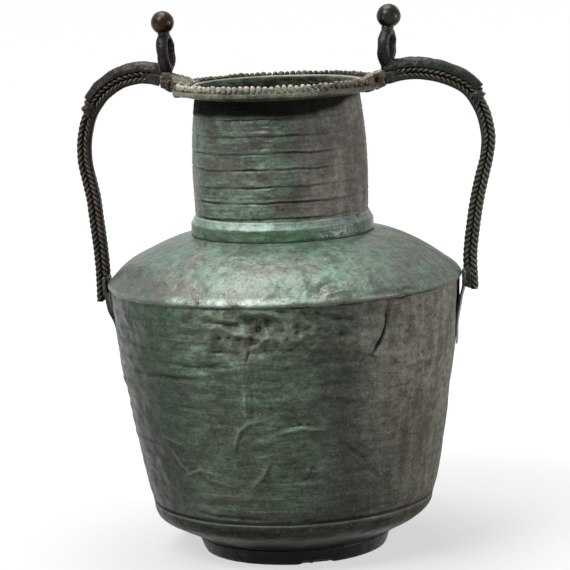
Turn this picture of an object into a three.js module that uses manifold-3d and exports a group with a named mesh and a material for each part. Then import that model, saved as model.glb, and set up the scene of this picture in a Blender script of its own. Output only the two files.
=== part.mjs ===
// A late antique bronze amphora with two plaited handles, in millimetres, +Z up.
// The vessel is raised from sheet: a bottom dish, a tapering wall, a domed shoulder and a
// ribbed neck, lapped into each other and soldered. The foot ring, collar, rim, handles and
// their fittings are cast. The origin is the centre of the circle that the foot stands on,
// and the handles lie along X.
import * as THREE from "three";
import { mergeVertices } from "three/addons/utils/BufferGeometryUtils.js";
import Module from "manifold-3d";

const wasm = await Module();
wasm.setup();

// Sheet and solder
const sheet = 1.6; // thickness of the hammered sheet
const seam = 0.3; // solder gap between two pieces that are joined
const roundSteps = 48; // facets round the vessel

// Foot ring
const footRadius = 75.5; // outside, where it stands
const footTopRadius = 79.5; // outside, where it meets the dish
const footHeight = 13;
const footThickness = 4.2;

// Bottom dish
const dishRadius = 115; // outside, at its corner
const dishCornerHeight = 37; // middle of the rounded corner above the ground
const dishCornerRound = 9; // radius of that corner
const dishConeRadius = 85; // where the sloping underside turns into the floor
const dishLap = 8; // how far the dish stands up inside the wall

// Tapering wall
const wallFootHeight = 43; // lower edge of the wall
const ridgeHeight = 224.5; // top of the ridge between wall and shoulder
const ridgeRadius = 145; // outside of the shoulder's turned edge
const wallBulge = 3.6; // how far the wall swells past a straight cone

// Shoulder
const skirtHeight = 5; // turned-down edge that laps over the wall
const shoulderTopHeight = 262; // where the shoulder meets the neck
const shoulderBulge = 6.2; // how far the shoulder rises above a straight cone

// Neck
const neckBellyRadius = 71.3; // widest radius
const neckBellyHeight = 312; // height of the widest place
const neckTopRadius = 67; // under the rim
const lipWidth = 1.6; // how far the lip is turned out over the rim
const lipThickness = 1.2;
const neckLap = 6; // how far the neck hangs down through the shoulder

// Collar at the neck's foot
const collarRadius = 74.6;
const collarBand = 10.5; // upright face
const collarBevel = 6; // sloping face above it

// Cast rim
const rimRadius = 84.8;
const rimBottomHeight = 377;
const rimEdgeHeight = 4.2; // plain fillet under the beading
const rimThickness = 5.4; // from the underside of the edge to the flat top inside the beading
const rimHubDrop = 3; // how far the flange thickens towards the neck
const rebateWidth = 6; // ledge that the beading sits on

// Beaded wire on the rim
const beadRadius = 2.9;
const beadPitch = 5.6;
const beadWaist = 0.72; // thickness between two beads, as a share of a bead

// Clasps that tie the handles to the rim
const claspHalfAngle = 20; // degrees that the clasp covers to each side of the handle
const claspOuterHalfWidth = 7.8; // at the handle
const claspFace = 2.2; // thickness outside the rim's edge
const claspNose = 7.7; // from the rim's edge to the face that the handle meets
const claspTopThickness = 7.2; // above the rim's flat top
const claspUnderThickness = 2.4; // below the rim
const claspSlopeStart = 5.1; // how far inside the rim's edge its top and underside start to slope

// Plaited handle bars, each four cords in a square
const cordRadius = 3.25;
const cordSpread = 2.9; // from the bar's middle to a cord's middle, both ways
const handleBow = { left: 18.2, right: 23.9 }; // widest place outside the ridge, bent unevenly
const archRise = { left: 8.1, right: 6 }; // crown of the bar's middle above the rim's flat top
const crownReach = 28; // where the crown is, outside the rim's edge
const rootDrop = 2.4; // bar's upper end below the crown
const bowDrop = 44; // widest place below the rim
const footStand = 7.6; // bar's middle outside the ridge, where it comes down on the shoulder
const barFootRise = 4.5; // end of the bend above the plate's top; straight down from there
const barTail = 17.5; // straight end of the bar below the plate's top
const archFullness = 0.62; // 0.55 gives a quarter of an ellipse
const tenonRadius = 3;
const tenonLength = 7;

// Ring brackets: a tongue along the arch with an upright ring
const tongueThickness = 5.6; // over the bar
const tongueWrap = 2.6; // how far its edges reach down the bar's flanks
const tongueLip = 1.1; // how far its edges stand out from the flanks
const tongueShare = 0.56; // share of the arch that the tongue covers
const ringReach = 4.2; // ring's middle outside the rim's edge
const ringHalfWidth = 12.4; // outside, across
const ringHalfHeight = 16.8; // outside, up
const ringSection = 3.5; // half the limb's thickness in the ring's plane
const ringDepth = 5.1; // half the limb's thickness across the plane
const ringSink = 0.5; // how far the ring's foot sinks below the tongue's underside
const ringLean = 4; // degrees that the ring leans outwards
const ringTwist = { left: 8, right: -14 }; // degrees that the ring is turned on its foot
const spigotRadius = 2.6;
const spigotHeight = 5;

// Ball finials
const ballRadius = 9.6;
const ballSink = 1.6; // how deep the ball sits over the ring's crown

// Bindings that hold the tongue's tip to the bar
const bindingLength = 9;
const bindingOuter = 3.4; // thickness on the outer side
const bindingSide = 1.8; // thickness on the two flanks

// Escutcheons: leaf-shaped plates that carry the bars' lower ends
const plateThickness = 2;
const plateRise = 3; // top of the plate above the ridge; the bar's inner cords end there
const plateLength = 67.5;
const plateHalfWidth = 15;
const plateStand = 3.3; // how far the plate's upper end stands off the ridge
const bossHalfWidth = 6;
const bossShort = 1; // how much the boss is shorter than the bar's tail

const sides = { left: -1, right: 1 };
const lerp = (a, b, t) => a + (b - a) * t;
const bronze = (color, roughness, metalness = 0.6) =>
  new THREE.MeshStandardMaterial({ color, roughness, metalness });
const greenPatina = bronze(0x4e6a58, 0.55);
const greyPatina = bronze(0x6c7a6c, 0.5);
const crustPatina = bronze(0x7b7f66, 0.7);
const darkBronze = bronze(0x2f2c27, 0.5, 0.75);
const brownBronze = bronze(0x4a3d31, 0.42, 0.8);

// A closed solid from a three.js geometry, and back
function solid(geometry) {
  const bare = geometry.index ? geometry.toNonIndexed() : geometry.clone();
  for (const name of ["normal", "uv"]) bare.deleteAttribute(name);
  const merged = mergeVertices(bare, 1e-4);
  return new wasm.Manifold(
    new wasm.Mesh({
      numProp: 3,
      vertProperties: merged.attributes.position.array,
      triVerts: new Uint32Array(merged.index.array),
    }),
  );
}

function geometryOf(body) {
  const { numProp, numVert, vertProperties, triVerts } = body.getMesh();
  const points = new Float32Array(numVert * 3);
  for (let i = 0; i < numVert; i++)
    points.set(vertProperties.subarray(i * numProp, i * numProp + 3), i * 3);
  const geometry = new THREE.BufferGeometry();
  geometry.setAttribute("position", new THREE.BufferAttribute(points, 3));
  geometry.setIndex(new THREE.BufferAttribute(triVerts, 1));
  geometry.computeVertexNormals();
  return geometry;
}

// A solid of revolution about Z from [radius, height] points that run anticlockwise
function turned(points, steps = roundSteps) {
  const profile = points.map(([r, z]) => new THREE.Vector2(r, z));
  if (points[0][0] > 0 || points.at(-1)[0] > 0) profile.push(profile[0].clone());
  return new THREE.LatheGeometry(profile, steps).rotateX(Math.PI / 2);
}

// Rings of points joined into a tube with flat ends, or into a loop
function skinned(rings, closed = false) {
  const size = rings[0].length;
  const points = rings.flat();
  const faces = [];
  const spans = closed ? rings.length : rings.length - 1;
  for (let i = 0; i < spans; i++) {
    const here = i * size;
    const next = ((i + 1) % rings.length) * size;
    for (let j = 0; j < size; j++) {
      const k = (j + 1) % size;
      faces.push(here + j, here + k, next + k, here + j, next + k, next + j);
    }
  }
  if (!closed) {
    const last = (rings.length - 1) * size;
    const caps = THREE.ShapeUtils.triangulateShape(flatten(rings[0]), []);
    for (const [a, b, c] of caps) faces.push(c, b, a);
    const ends = THREE.ShapeUtils.triangulateShape(flatten(rings.at(-1)), []);
    for (const [a, b, c] of ends) faces.push(last + a, last + b, last + c);
  }
  const geometry = new THREE.BufferGeometry().setFromPoints(points);
  geometry.setIndex(faces);
  geometry.computeVertexNormals();
  return geometry;
}

// A flat ring of points seen in its own plane, so that its end can be filled
function flatten(ring) {
  const origin = ring[0];
  const middle = ring.reduce((sum, p) => sum.add(p), new THREE.Vector3()).divideScalar(ring.length);
  const across = origin.clone().sub(middle).normalize();
  const normal = new THREE.Vector3();
  ring.forEach((p, i) => {
    const q = ring[(i + 1) % ring.length];
    normal.add(p.clone().sub(middle).cross(q.clone().sub(middle)));
  });
  const up = normal.normalize().cross(across);
  return ring.map((p) => {
    const d = p.clone().sub(middle);
    return new THREE.Vector2(d.dot(across), d.dot(up));
  });
}

// Heights and distances that follow from the sizes above
const rimTopHeight = rimBottomHeight + rimThickness;
const lipHeight = rimTopHeight + seam + lipThickness;
const bowHeight = rimBottomHeight - bowDrop;
const plateTopHeight = ridgeHeight + plateRise;
const plateTipHeight = plateTopHeight - plateLength;
const barFootHeight = plateTopHeight + barFootRise;
const barEndHeight = plateTopHeight - barTail;
const footReach = ridgeRadius + footStand;
const claspReach = rimRadius + claspNose;
const crownX = rimRadius + crownReach;
const ringX = rimRadius + ringReach;
const crownHeight = (side) => rimTopHeight + archRise[side];

// Outlines of the sheets
const wallTopHeight = ridgeHeight - sheet - seam;
const wallTopRadius = ridgeRadius - sheet - seam;
function wallRadius(z) {
  const t = (z - wallFootHeight) / (wallTopHeight - wallFootHeight);
  return lerp(dishRadius, wallTopRadius, t) + 4 * wallBulge * t * (1 - t);
}

const neckRimHeight = rimBottomHeight - rimHubDrop - 1; // straight above this
const shoulderHoleRadius = neckRadius(shoulderTopHeight) + seam;
function shoulderHeight(r) {
  const t = (ridgeRadius - r) / (ridgeRadius - shoulderHoleRadius);
  return lerp(ridgeHeight, shoulderTopHeight, t) + 4 * shoulderBulge * t * (1 - t);
}

function neckRadius(z) {
  const t = (z - neckBellyHeight) / (neckRimHeight - neckBellyHeight);
  return Math.max(neckTopRadius, neckBellyRadius - (neckBellyRadius - neckTopRadius) * t * t);
}

const steps = (from, to, count) =>
  Array.from({ length: count + 1 }, (_, i) => lerp(from, to, i / count));

// The foot: a cast ring that tapers a little towards the ground
function footRing() {
  const top = footHeight - seam;
  return turned([
    [footRadius - footThickness, 0],
    [footRadius, 0],
    [footTopRadius, top],
    [footTopRadius - footThickness - 1, top],
  ]);
}

// The bottom dish: floor, sloping underside, rounded corner, and an upstand inside the wall
function bottomDish() {
  const slope = Math.atan2(
    dishCornerHeight - dishCornerRound - footHeight,
    dishRadius - dishCornerRound - dishConeRadius,
  );
  const cornerR = dishRadius - dishCornerRound;
  const corner = (radius) =>
    steps(slope - Math.PI / 2, 0, 4).map((a) => [
      cornerR + radius * Math.cos(a),
      dishCornerHeight + radius * Math.sin(a),
    ]);
  const lapRadius = dishRadius - sheet - seam;
  const edge = wallFootHeight - seam;
  return turned([
    [0, footHeight],
    [dishConeRadius, footHeight],
    ...corner(dishCornerRound),
    [dishRadius, edge],
    [lapRadius, edge],
    [lapRadius, edge + dishLap],
    [lapRadius - sheet, edge + dishLap],
    [lapRadius - sheet, dishCornerHeight + 2],
    ...corner(dishCornerRound - sheet * 1.4).reverse().slice(1),
    [dishConeRadius - sheet / 2, footHeight + sheet],
    [0, footHeight + sheet],
  ]);
}

// The wall: a cone that swells a little, lapped over the dish and under the shoulder
function bodyWall() {
  const heights = steps(wallFootHeight, wallTopHeight, 8);
  return turned([
    ...heights.map((z) => [wallRadius(z), z]),
    ...heights.reverse().map((z) => [wallRadius(z) - sheet, z]),
  ]);
}

// The shoulder: a low dome with its edge turned down over the wall
function shoulder() {
  const radii = steps(ridgeRadius, shoulderHoleRadius, 7);
  const outside = radii.map((r) => [r, shoulderHeight(r)]);
  const inside = radii.slice(1).map((r) => [r, shoulderHeight(r) - sheet]);
  const skirt = ridgeHeight - skirtHeight;
  return turned([
    [ridgeRadius - sheet, skirt],
    [ridgeRadius - 0.6, skirt],
    ...outside,
    ...inside.reverse(),
    [ridgeRadius - sheet, ridgeHeight - sheet],
  ]);
}

// The neck: a slightly barrelled tube with a turned-out lip that lies on the rim
function neck() {
  const foot = shoulderTopHeight - neckLap;
  const heights = [...steps(foot, neckRimHeight, 7), rimTopHeight + seam];
  const top = neckTopRadius;
  return turned([
    ...heights.map((z) => [neckRadius(z), z]),
    [top + lipWidth, rimTopHeight + seam],
    [top + lipWidth, lipHeight],
    [top - sheet, lipHeight],
    ...heights.reverse().map((z) => [neckRadius(z) - sheet, z]).slice(1),
  ]);
}

// The collar: a band round the neck's foot that stands on the shoulder
const collarFootHeight = shoulderHeight(collarRadius) + seam;
function neckCollar() {
  const top = collarFootHeight + collarBand;
  const bore = (z) => neckRadius(z) + seam;
  return turned([
    [bore(shoulderTopHeight + seam), shoulderTopHeight + seam],
    [collarRadius, collarFootHeight],
    [collarRadius, top],
    [bore(top + collarBevel) + 0.5, top + collarBevel],
    [bore(top + collarBevel), top + collarBevel],
    [bore(top), top],
  ]);
}

// The rim: a cast flange round the neck's top, with a ledge for the beading.
// grown is how far every face stands out, so that the same shape can cut the clasps.
function rimRing(grown = 0) {
  const bore = neckTopRadius + seam;
  const ledge = rimBottomHeight + rimEdgeHeight;
  return turned([
    [bore - grown, rimBottomHeight - rimHubDrop - grown],
    [bore + 4, rimBottomHeight - rimHubDrop - grown],
    [rimRadius - 3, rimBottomHeight - grown],
    [rimRadius + grown, rimBottomHeight - grown],
    [rimRadius + grown, ledge + grown],
    [rimRadius - rebateWidth + grown, ledge + grown],
    [rimRadius - rebateWidth + grown, rimTopHeight + grown],
    [bore - grown, rimTopHeight + grown],
  ]);
}

// Half of the beaded wire, from one clasp round to the other
const beadLineRadius = rimRadius - beadRadius + seam;
const beadLineHeight = rimBottomHeight + rimEdgeHeight + beadRadius + seam;
function rimBeading(front) {
  const gap = THREE.MathUtils.degToRad(claspHalfAngle) + 1 / beadLineRadius;
  const sweep = Math.PI - 2 * gap;
  const beads = Math.round((sweep * beadLineRadius) / beadPitch);
  const start = front ? Math.PI + gap : gap;
  const rings = [];
  for (let i = 0; i <= beads * 2; i++) {
    const angle = start + (sweep * i) / (beads * 2);
    const r = beadRadius * (i % 2 ? 1 : beadWaist);
    const outward = new THREE.Vector3(Math.cos(angle), Math.sin(angle), 0);
    const middle = outward.clone().multiplyScalar(beadLineRadius).setZ(beadLineHeight);
    rings.push(
      steps(0, 1, 7).slice(0, -1).map((t) => {
        const a = 2 * Math.PI * t;
        return middle.clone()
          .addScaledVector(outward, r * Math.cos(a))
          .add(new THREE.Vector3(0, 0, -r * Math.sin(a)));
      }),
    );
  }
  return skinned(rings);
}

// A block over an [x, y] outline, between two sloping planes given as heights at x
function block(outline, lower, upper) {
  const ring = (height) => outline.map(([x, y]) => new THREE.Vector3(x, y, height(x)));
  return solid(skinned([ring(lower), ring(upper)]));
}

// The clasp: a saddle over the rim with a nose that ends in a face for the handle
function rimClasp(side) {
  const inner = neckTopRadius + lipWidth + 1;
  const outer = rimRadius + claspFace;
  const half = THREE.MathUtils.degToRad(claspHalfAngle);
  const arc = (r, from, to) =>
    steps(from, to, 6).map((a) => [r * Math.cos(a), r * Math.sin(a)]);
  const outline = [
    ...arc(inner, half, -half),
    ...arc(outer, -half, -half * 0.45),
    [claspReach, -claspOuterHalfWidth],
    [claspReach, claspOuterHalfWidth],
    ...arc(outer, half * 0.45, half),
  ];
  const level = rimRadius - claspSlopeStart;
  const slope = (atRim, atHandle) => (x) =>
    lerp(atRim, atHandle, Math.max(0, x - level) / (claspReach - level));
  const start = barStart(side).z;
  const body = block(
    outline,
    slope(rimBottomHeight - claspUnderThickness, start - barTopSide),
    slope(rimTopHeight + claspTopThickness, start + barTopSide),
  );
  const socket = barTenon(side, seam);
  return geometryOf(body.subtract(solid(rimRing(seam))).subtract(socket));
}

// The line that a bar follows, in the plane of the handles, for the right-hand side
function barPath(side) {
  const reach = ridgeRadius + handleBow[side];
  const crown = crownHeight(side);
  const p = (x, z) => new THREE.Vector3(x, 0, z);
  const start = barStart(side);
  const line = new THREE.CurvePath();
  line.add(new THREE.CubicBezierCurve3(
    start,
    p(lerp(claspReach, crownX, 0.4), start.z),
    p(lerp(claspReach, crownX, 0.6), crown),
    p(crownX, crown),
  ));
  line.add(new THREE.CubicBezierCurve3(
    p(crownX, crown),
    p(lerp(crownX, reach, archFullness), crown),
    p(reach, lerp(bowHeight, crown, archFullness)),
    p(reach, bowHeight),
  ));
  line.add(new THREE.CubicBezierCurve3(
    p(reach, bowHeight),
    p(reach, lerp(bowHeight, barFootHeight, 0.24)),
    p(lerp(reach, footReach, 0.94), lerp(bowHeight, barFootHeight, 0.57)),
    p(footReach, barFootHeight),
  ));
  line.add(new THREE.LineCurve3(p(footReach, barFootHeight), p(footReach, barEndHeight)));
  return line;
}

function barStart(side) {
  return new THREE.Vector3(claspReach + seam, 0, crownHeight(side) - rootDrop);
}

// Places an [outward, across] section, anticlockwise, at places from 0 to 1 on a bar's line
function alongBar(side, places, section) {
  const line = barPath(side);
  return places.map((t) => {
    const at = line.getPointAt(t);
    const along = line.getTangentAt(t);
    const outward = new THREE.Vector3(-along.z, 0, along.x);
    return section(t).map(([o, y]) =>
      at.clone().addScaledVector(outward, o).add(new THREE.Vector3(0, -y, 0)),
    );
  });
}

// Outline of four cords in a square, grown by a clearance
function plaitSection(grown = 0) {
  const points = [];
  for (const quarter of [0, 1, 2, 3]) {
    const middle = Math.PI / 4 + (quarter * Math.PI) / 2;
    for (const offset of [-0.95, -0.32, 0.32, 0.95]) {
      const a = middle + offset;
      points.push([
        cordSpread * Math.SQRT2 * Math.cos(middle) + (cordRadius + grown) * Math.cos(a),
        cordSpread * Math.SQRT2 * Math.sin(middle) + (cordRadius + grown) * Math.sin(a),
      ]);
    }
  }
  return points;
}

// The tenon on the bar's upper end, or the socket for it
function barTenon(side, grown) {
  const start = barStart(side);
  const pin = new THREE.CylinderGeometry(
    tenonRadius + grown, tenonRadius + grown, tenonLength + 1 + 2 * grown, 12,
  );
  pin.rotateZ(Math.PI / 2);
  pin.translate(start.x - (tenonLength - 1) / 2, 0, start.z);
  return solid(pin);
}

// The bar without its tenon, grown by a clearance
const barPlaces = steps(0, 1, 38);
function plainBar(side, grown = 0) {
  return solid(skinned(alongBar(side, barPlaces, () => plaitSection(grown))));
}

// The handle bar: its inner cords are cut away at the foot to make room for the boss
function handleBar(side) {
  const half = cordSpread + cordRadius;
  const notchTop = plateTopHeight + seam;
  const notch = new THREE.BoxGeometry(2 * half, 4 * half, 2 * (notchTop - barEndHeight));
  notch.translate(footReach - half - 1, 0, barEndHeight);
  return geometryOf(plainBar(side).add(barTenon(side, 0)).subtract(solid(notch)));
}

// Where the tongue and the binding lie on the bar's line
const barTopSide = cordSpread + cordRadius;
function archShare(side, share) {
  const lengths = barPath(side).getCurveLengths();
  return (lengths[0] + share * (lengths[1] - lengths[0])) / lengths.at(-1);
}

// The upright ring, in the plane across the handles, with a spigot for the ball
function standingRing() {
  const rings = steps(0, 1, 28).slice(0, -1).map((t) => {
    const a = 2 * Math.PI * t;
    const out = new THREE.Vector3(0, Math.cos(a), Math.sin(a));
    const middle = new THREE.Vector3(
      0,
      (ringHalfWidth - ringSection) * Math.cos(a),
      (ringHalfHeight - ringSection) * Math.sin(a),
    );
    return steps(0, 1, 10).slice(0, -1).map((u) => {
      const b = 2 * Math.PI * u;
      return middle.clone()
        .addScaledVector(out, ringSection * Math.cos(b))
        .add(new THREE.Vector3(-ringDepth * Math.sin(b), 0, 0));
    });
  });
  const spigot = new THREE.CylinderGeometry(spigotRadius, spigotRadius, spigotHeight + 2, 10);
  spigot.rotateX(Math.PI / 2).translate(0, 0, ringHalfHeight + spigotHeight / 2 - 1);
  return { loop: skinned(rings, true), spigot };
}

const ringFootHeight = (side) => barStart(side).z + barTopSide - ringSink;
function placeRing(geometry, side) {
  const placed = geometry.clone();
  placed.translate(0, 0, ringHalfHeight);
  placed.rotateZ(THREE.MathUtils.degToRad(ringTwist[side] * sides[side]));
  placed.rotateY(THREE.MathUtils.degToRad(ringLean));
  placed.translate(ringX, 0, ringFootHeight(side));
  return placed;
}

// The bracket: a rounded tongue along the bar's outer side, with the ring at its inner end
function ringBracket(side) {
  const end = archShare(side, tongueShare);
  const tongue = solid(skinned(alongBar(side, steps(0, end, 16), (t) => {
    const taper = lerp(1, 0.82, t / end);
    const low = barTopSide - tongueWrap;
    const high = (tongueWrap + tongueThickness) * taper;
    return steps(0, Math.PI, 8).map((a) => [
      low + high * Math.sin(a),
      -(barTopSide + tongueLip) * Math.cos(a),
    ]);
  })));
  const { loop, spigot } = standingRing();
  const start = barStart(side);
  const low = start.z + barTopSide + seam;
  const bridge = block(
    [[ringX - 2, -4], [start.x + 3, -5], [start.x + 3, 5], [ringX - 2, 4]],
    () => low,
    () => low + 4,
  );
  const pieces = [solid(placeRing(loop, side)), solid(placeRing(spigot, side)), bridge];
  const whole = pieces.reduce((sum, piece) => sum.add(piece), tongue);
  return geometryOf(whole.subtract(plainBar(side, seam)));
}

// The ball: bored for the spigot and hollowed to sit on the ring's crown
function ballFinial(side) {
  const centre = ringHalfHeight + ballRadius - ballSink;
  const ball = new THREE.SphereGeometry(ballRadius, 18, 12).rotateX(Math.PI / 2);
  ball.translate(0, 0, centre);
  const bore = new THREE.CylinderGeometry(spigotRadius + seam, spigotRadius + seam, 12, 10);
  bore.rotateX(Math.PI / 2).translate(0, 0, ringHalfHeight + spigotHeight + seam - 6);
  const cut = 2 * (ballSink + seam);
  const seat = new THREE.BoxGeometry(4 * ballRadius, 4 * ballRadius, cut);
  seat.translate(0, 0, ringHalfHeight + seam - cut / 2);
  const body = solid(placeRing(ball, side))
    .subtract(solid(placeRing(bore, side)))
    .subtract(solid(placeRing(seat, side)));
  return geometryOf(body);
}

// The binding: a band over the bar's outer side, just past the tongue's tip
function handleBinding(side) {
  const whole = barPath(side).getLength();
  const from = archShare(side, tongueShare) + (seam + 0.2) / whole;
  const to = from + bindingLength / whole;
  const half = barTopSide + seam + bindingSide;
  const low = -barTopSide * 0.35;
  const high = barTopSide + bindingOuter;
  const band = (t) => {
    const swell = 1 - 0.16 * Math.abs((2 * (t - from)) / (to - from) - 1);
    const round = 3;
    return [
      [low, -half], [high * swell - round, -half], [high * swell, round - half],
      [high * swell, half - round], [high * swell - round, half], [low, half],
    ];
  };
  const bandBody = solid(skinned(alongBar(side, steps(from, to, 4), band)));
  const beyond = 1.5 / whole;
  const open = solid(skinned(alongBar(side, steps(from - beyond, to + beyond, 4), () => [
    [-3 * barTopSide, -barTopSide * 0.8], [0, -barTopSide * 0.8],
    [0, barTopSide * 0.8], [-3 * barTopSide, barTopSide * 0.8],
  ])));
  return geometryOf(bandBody.subtract(plainBar(side, seam)).subtract(open));
}

// Inner face of the plate: against the wall at the tip, standing off the ridge at the top
function plateInside(z) {
  const t = (z - plateTipHeight) / (plateTopHeight - plateTipHeight);
  const tip = wallRadius(plateTipHeight) + seam;
  const straight = lerp(tip, ridgeRadius + seam + plateStand, t);
  return Math.max(straight, z < wallTopHeight ? wallRadius(z) + seam : 0);
}

function plateWidth(z) {
  const t = (z - plateTipHeight) / (plateTopHeight - plateTipHeight);
  const leaf = Math.sin(Math.PI * Math.min(1, 0.1 + 0.62 * t)) ** 0.8;
  return Math.max(3, plateHalfWidth * leaf);
}

// The escutcheon: a leaf-shaped plate on a boss, which sits on the ridge and carries the
// bar's cut end
function escutcheon() {
  const rings = steps(plateTipHeight, plateTopHeight, 10).map((z) => {
    const x = plateInside(z);
    const w = plateWidth(z);
    return [
      [x, -w], [x + plateThickness, -w], [x + plateThickness, w], [x, w],
    ].map(([px, py]) => new THREE.Vector3(px, py, z));
  });
  const outer = footReach - 1 - seam;
  const inner = ridgeRadius + seam;
  const w = bossHalfWidth;
  const boss = block(
    [[inner, -w], [outer, -w], [outer, w], [inner, w]],
    () => barEndHeight + bossShort,
    () => plateTopHeight,
  );
  return geometryOf(solid(skinned(rings)).add(boss));
}

const group = new THREE.Group();
function add(name, geometry, material) {
  const mesh = new THREE.Mesh(geometry, material);
  mesh.name = name;
  group.add(mesh);
}

add("foot_ring", footRing(), darkBronze);
add("bottom_dish", bottomDish(), greenPatina);
add("body_wall", bodyWall(), greenPatina);
add("shoulder", shoulder(), greyPatina);
add("neck", neck(), greenPatina);
add("neck_collar", neckCollar(), greenPatina);
add("rim_ring", rimRing(), crustPatina);
add("rim_beading_front", rimBeading(true), crustPatina);
add("rim_beading_back", rimBeading(false), crustPatina);

for (const side of Object.keys(sides)) {
  const facing = side === "left" ? Math.PI : 0;
  const fit = (name, geometry, material) =>
    add(`${name}_${side}`, geometry.rotateZ(facing), material);
  fit("rim_clasp", rimClasp(side), crustPatina);
  fit("handle_bar", handleBar(side), darkBronze);
  fit("ring_bracket", ringBracket(side), darkBronze);
  fit("ball_finial", ballFinial(side), brownBronze);
  fit("handle_binding", handleBinding(side), darkBronze);
  fit("escutcheon", escutcheon(), darkBronze);
}

export default group;
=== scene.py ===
# A late antique bronze amphora with two plaited handles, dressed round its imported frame.
# Sizes in the sections are in millimetres and angles in degrees, counted from the side that
# the photograph shows towards the right-hand handle; the meshes are in metres.
import math
import bpy
from mathutils import Matrix, Quaternion, Vector, noise


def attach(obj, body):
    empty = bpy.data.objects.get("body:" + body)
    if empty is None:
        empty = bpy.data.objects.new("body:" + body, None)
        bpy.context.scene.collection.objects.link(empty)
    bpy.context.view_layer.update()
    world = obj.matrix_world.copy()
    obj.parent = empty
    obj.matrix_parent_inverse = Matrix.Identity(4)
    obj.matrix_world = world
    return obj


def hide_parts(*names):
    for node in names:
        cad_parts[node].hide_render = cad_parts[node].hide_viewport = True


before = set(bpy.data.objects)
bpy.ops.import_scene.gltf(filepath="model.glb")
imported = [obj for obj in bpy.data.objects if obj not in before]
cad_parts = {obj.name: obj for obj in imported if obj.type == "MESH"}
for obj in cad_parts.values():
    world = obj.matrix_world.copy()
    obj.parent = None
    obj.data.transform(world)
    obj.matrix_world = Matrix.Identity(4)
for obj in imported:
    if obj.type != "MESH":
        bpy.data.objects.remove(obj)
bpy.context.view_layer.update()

# The camera: in front of the vessel, a little to its right and above its middle, on a long
# lens. The picture leans by a couple of degrees, so the camera is rolled about its own line.
view_target = Vector((0, 0, 0.2167))
view_distance = 2.1346
view_side, view_rise, view_roll = (math.radians(angle) for angle in (8, 9, 2.4))
focal_length, picture_width = 2600, 570  # both in pixels
film_width = 36
towards_camera = Vector((
    math.sin(view_side) * math.cos(view_rise),
    -math.cos(view_side) * math.cos(view_rise),
    math.sin(view_rise),
))
camera = bpy.data.objects.new("camera", bpy.data.cameras.new("camera"))
bpy.context.collection.objects.link(camera)
camera.data.sensor_width = film_width
camera.data.lens = film_width * focal_length / picture_width
camera.data.clip_end = 60
turned = towards_camera.to_track_quat("Z", "Y") @ Quaternion((0, 0, 1), -view_roll)
camera.matrix_world = (
    Matrix.Translation(view_target + towards_camera * view_distance) @ turned.to_matrix().to_4x4()
)
bpy.context.scene.camera = camera


# The foot: a plain cast ring, dark with handling and soot, filed level underneath and
# chipped along its front edge. It is soldered under the bottom dish.
def tint(red, green, blue):
    """A colour as it looks on a screen, turned into the numbers that a shader takes."""
    def linear(value):
        value /= 255
        return value / 12.92 if value <= 0.04045 else ((value + 0.055) / 1.055) ** 2.4
    return (linear(red), linear(green), linear(blue), 1)


def feed(tree, socket, value):
    """Gives a socket its value, or links it to the output that the value comes from."""
    if isinstance(value, bpy.types.NodeSocket):
        tree.links.new(value, socket)
    else:
        socket.default_value = value


def add_node(tree, kind, settings=None, **sockets):
    """Adds a node; a socket is given by its name, as a value or as the output it takes."""
    made = tree.nodes.new(kind)
    for key, value in (settings or {}).items():
        setattr(made, key, value)
    for key, value in sockets.items():
        feed(tree, made.inputs[key.replace("_", " ")], value)
    return made


def grain(tree, scale, detail, roughness, stretch=(1, 1, 1), distortion=0.0, shift=0.0):
    """Noise in the piece's own metres, from 0 to 1 with its middle at a half."""
    place = add_node(tree, "ShaderNodeTexCoord").outputs["Object"]
    fitted = add_node(tree, "ShaderNodeMapping", Vector=place, Scale=stretch,
                      Location=(shift, shift * 0.7, shift * 0.4)).outputs["Vector"]
    return add_node(tree, "ShaderNodeTexNoise", Vector=fitted, Scale=scale, Detail=detail,
                    Roughness=roughness, Distortion=distortion).outputs["Fac"]


def ramp(tree, value, low, high):
    """Stretches the part of a value between low and high to 0 and 1."""
    return add_node(tree, "ShaderNodeMapRange", {"interpolation_type": "SMOOTHSTEP"},
                    Value=value, From_Min=low, From_Max=high).outputs["Result"]


def mixed(tree, share, first, second, kind="MIX"):
    """Mixes two colours by a share that varies over the surface."""
    made = add_node(tree, "ShaderNodeMix", {"data_type": "RGBA", "blend_type": kind})
    for index, value in ((0, share), (6, first), (7, second)):
        feed(tree, made.inputs[index], value)
    return made.outputs[2]


def arithmetic(tree, kind, *values):
    """One sum on values that vary over the surface."""
    made = add_node(tree, "ShaderNodeMath", {"operation": kind})
    for socket, value in zip(made.inputs, values):
        feed(tree, socket, value)
    return made.outputs[0]


def part_of(tree, value, share):
    """A value that varies over the surface, weakened to a share of itself."""
    return arithmetic(tree, "MULTIPLY", value, share)


def coated(tree, colour, *coats):
    """Lays coats over a colour. Each is (its colour, value, low, high, share): it begins where
    the value of the surface passes low and covers by its share where the value reaches high."""
    for over, value, low, high, share in coats:
        colour = mixed(tree, part_of(tree, ramp(tree, value, low, high), share), colour, over)
    return colour


def new_finish(name, metallic, specular):
    """An empty material with its main shader, to be filled by the finishes below."""
    finish = bpy.data.materials.new(name)
    finish.use_nodes = True
    tree = finish.node_tree
    shader = tree.nodes["Principled BSDF"]
    shader.inputs["Metallic"].default_value = metallic
    shader.inputs["Specular IOR Level"].default_value = specular
    return finish, tree, shader


def set_relief(tree, shader, layers):
    """Fine relief from (height, depth in metres) layers, one on another. The layers are of
    few octaves, as every further one would roughen the metal until it no longer shines."""
    normal = None
    for height, depth in layers:
        made = add_node(tree, "ShaderNodeBump", Height=height, Strength=1.0, Distance=depth)
        if normal is not None:
            tree.links.new(normal, made.inputs["Normal"])
        normal = made.outputs["Normal"]
    tree.links.new(normal, shader.inputs["Normal"])


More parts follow.
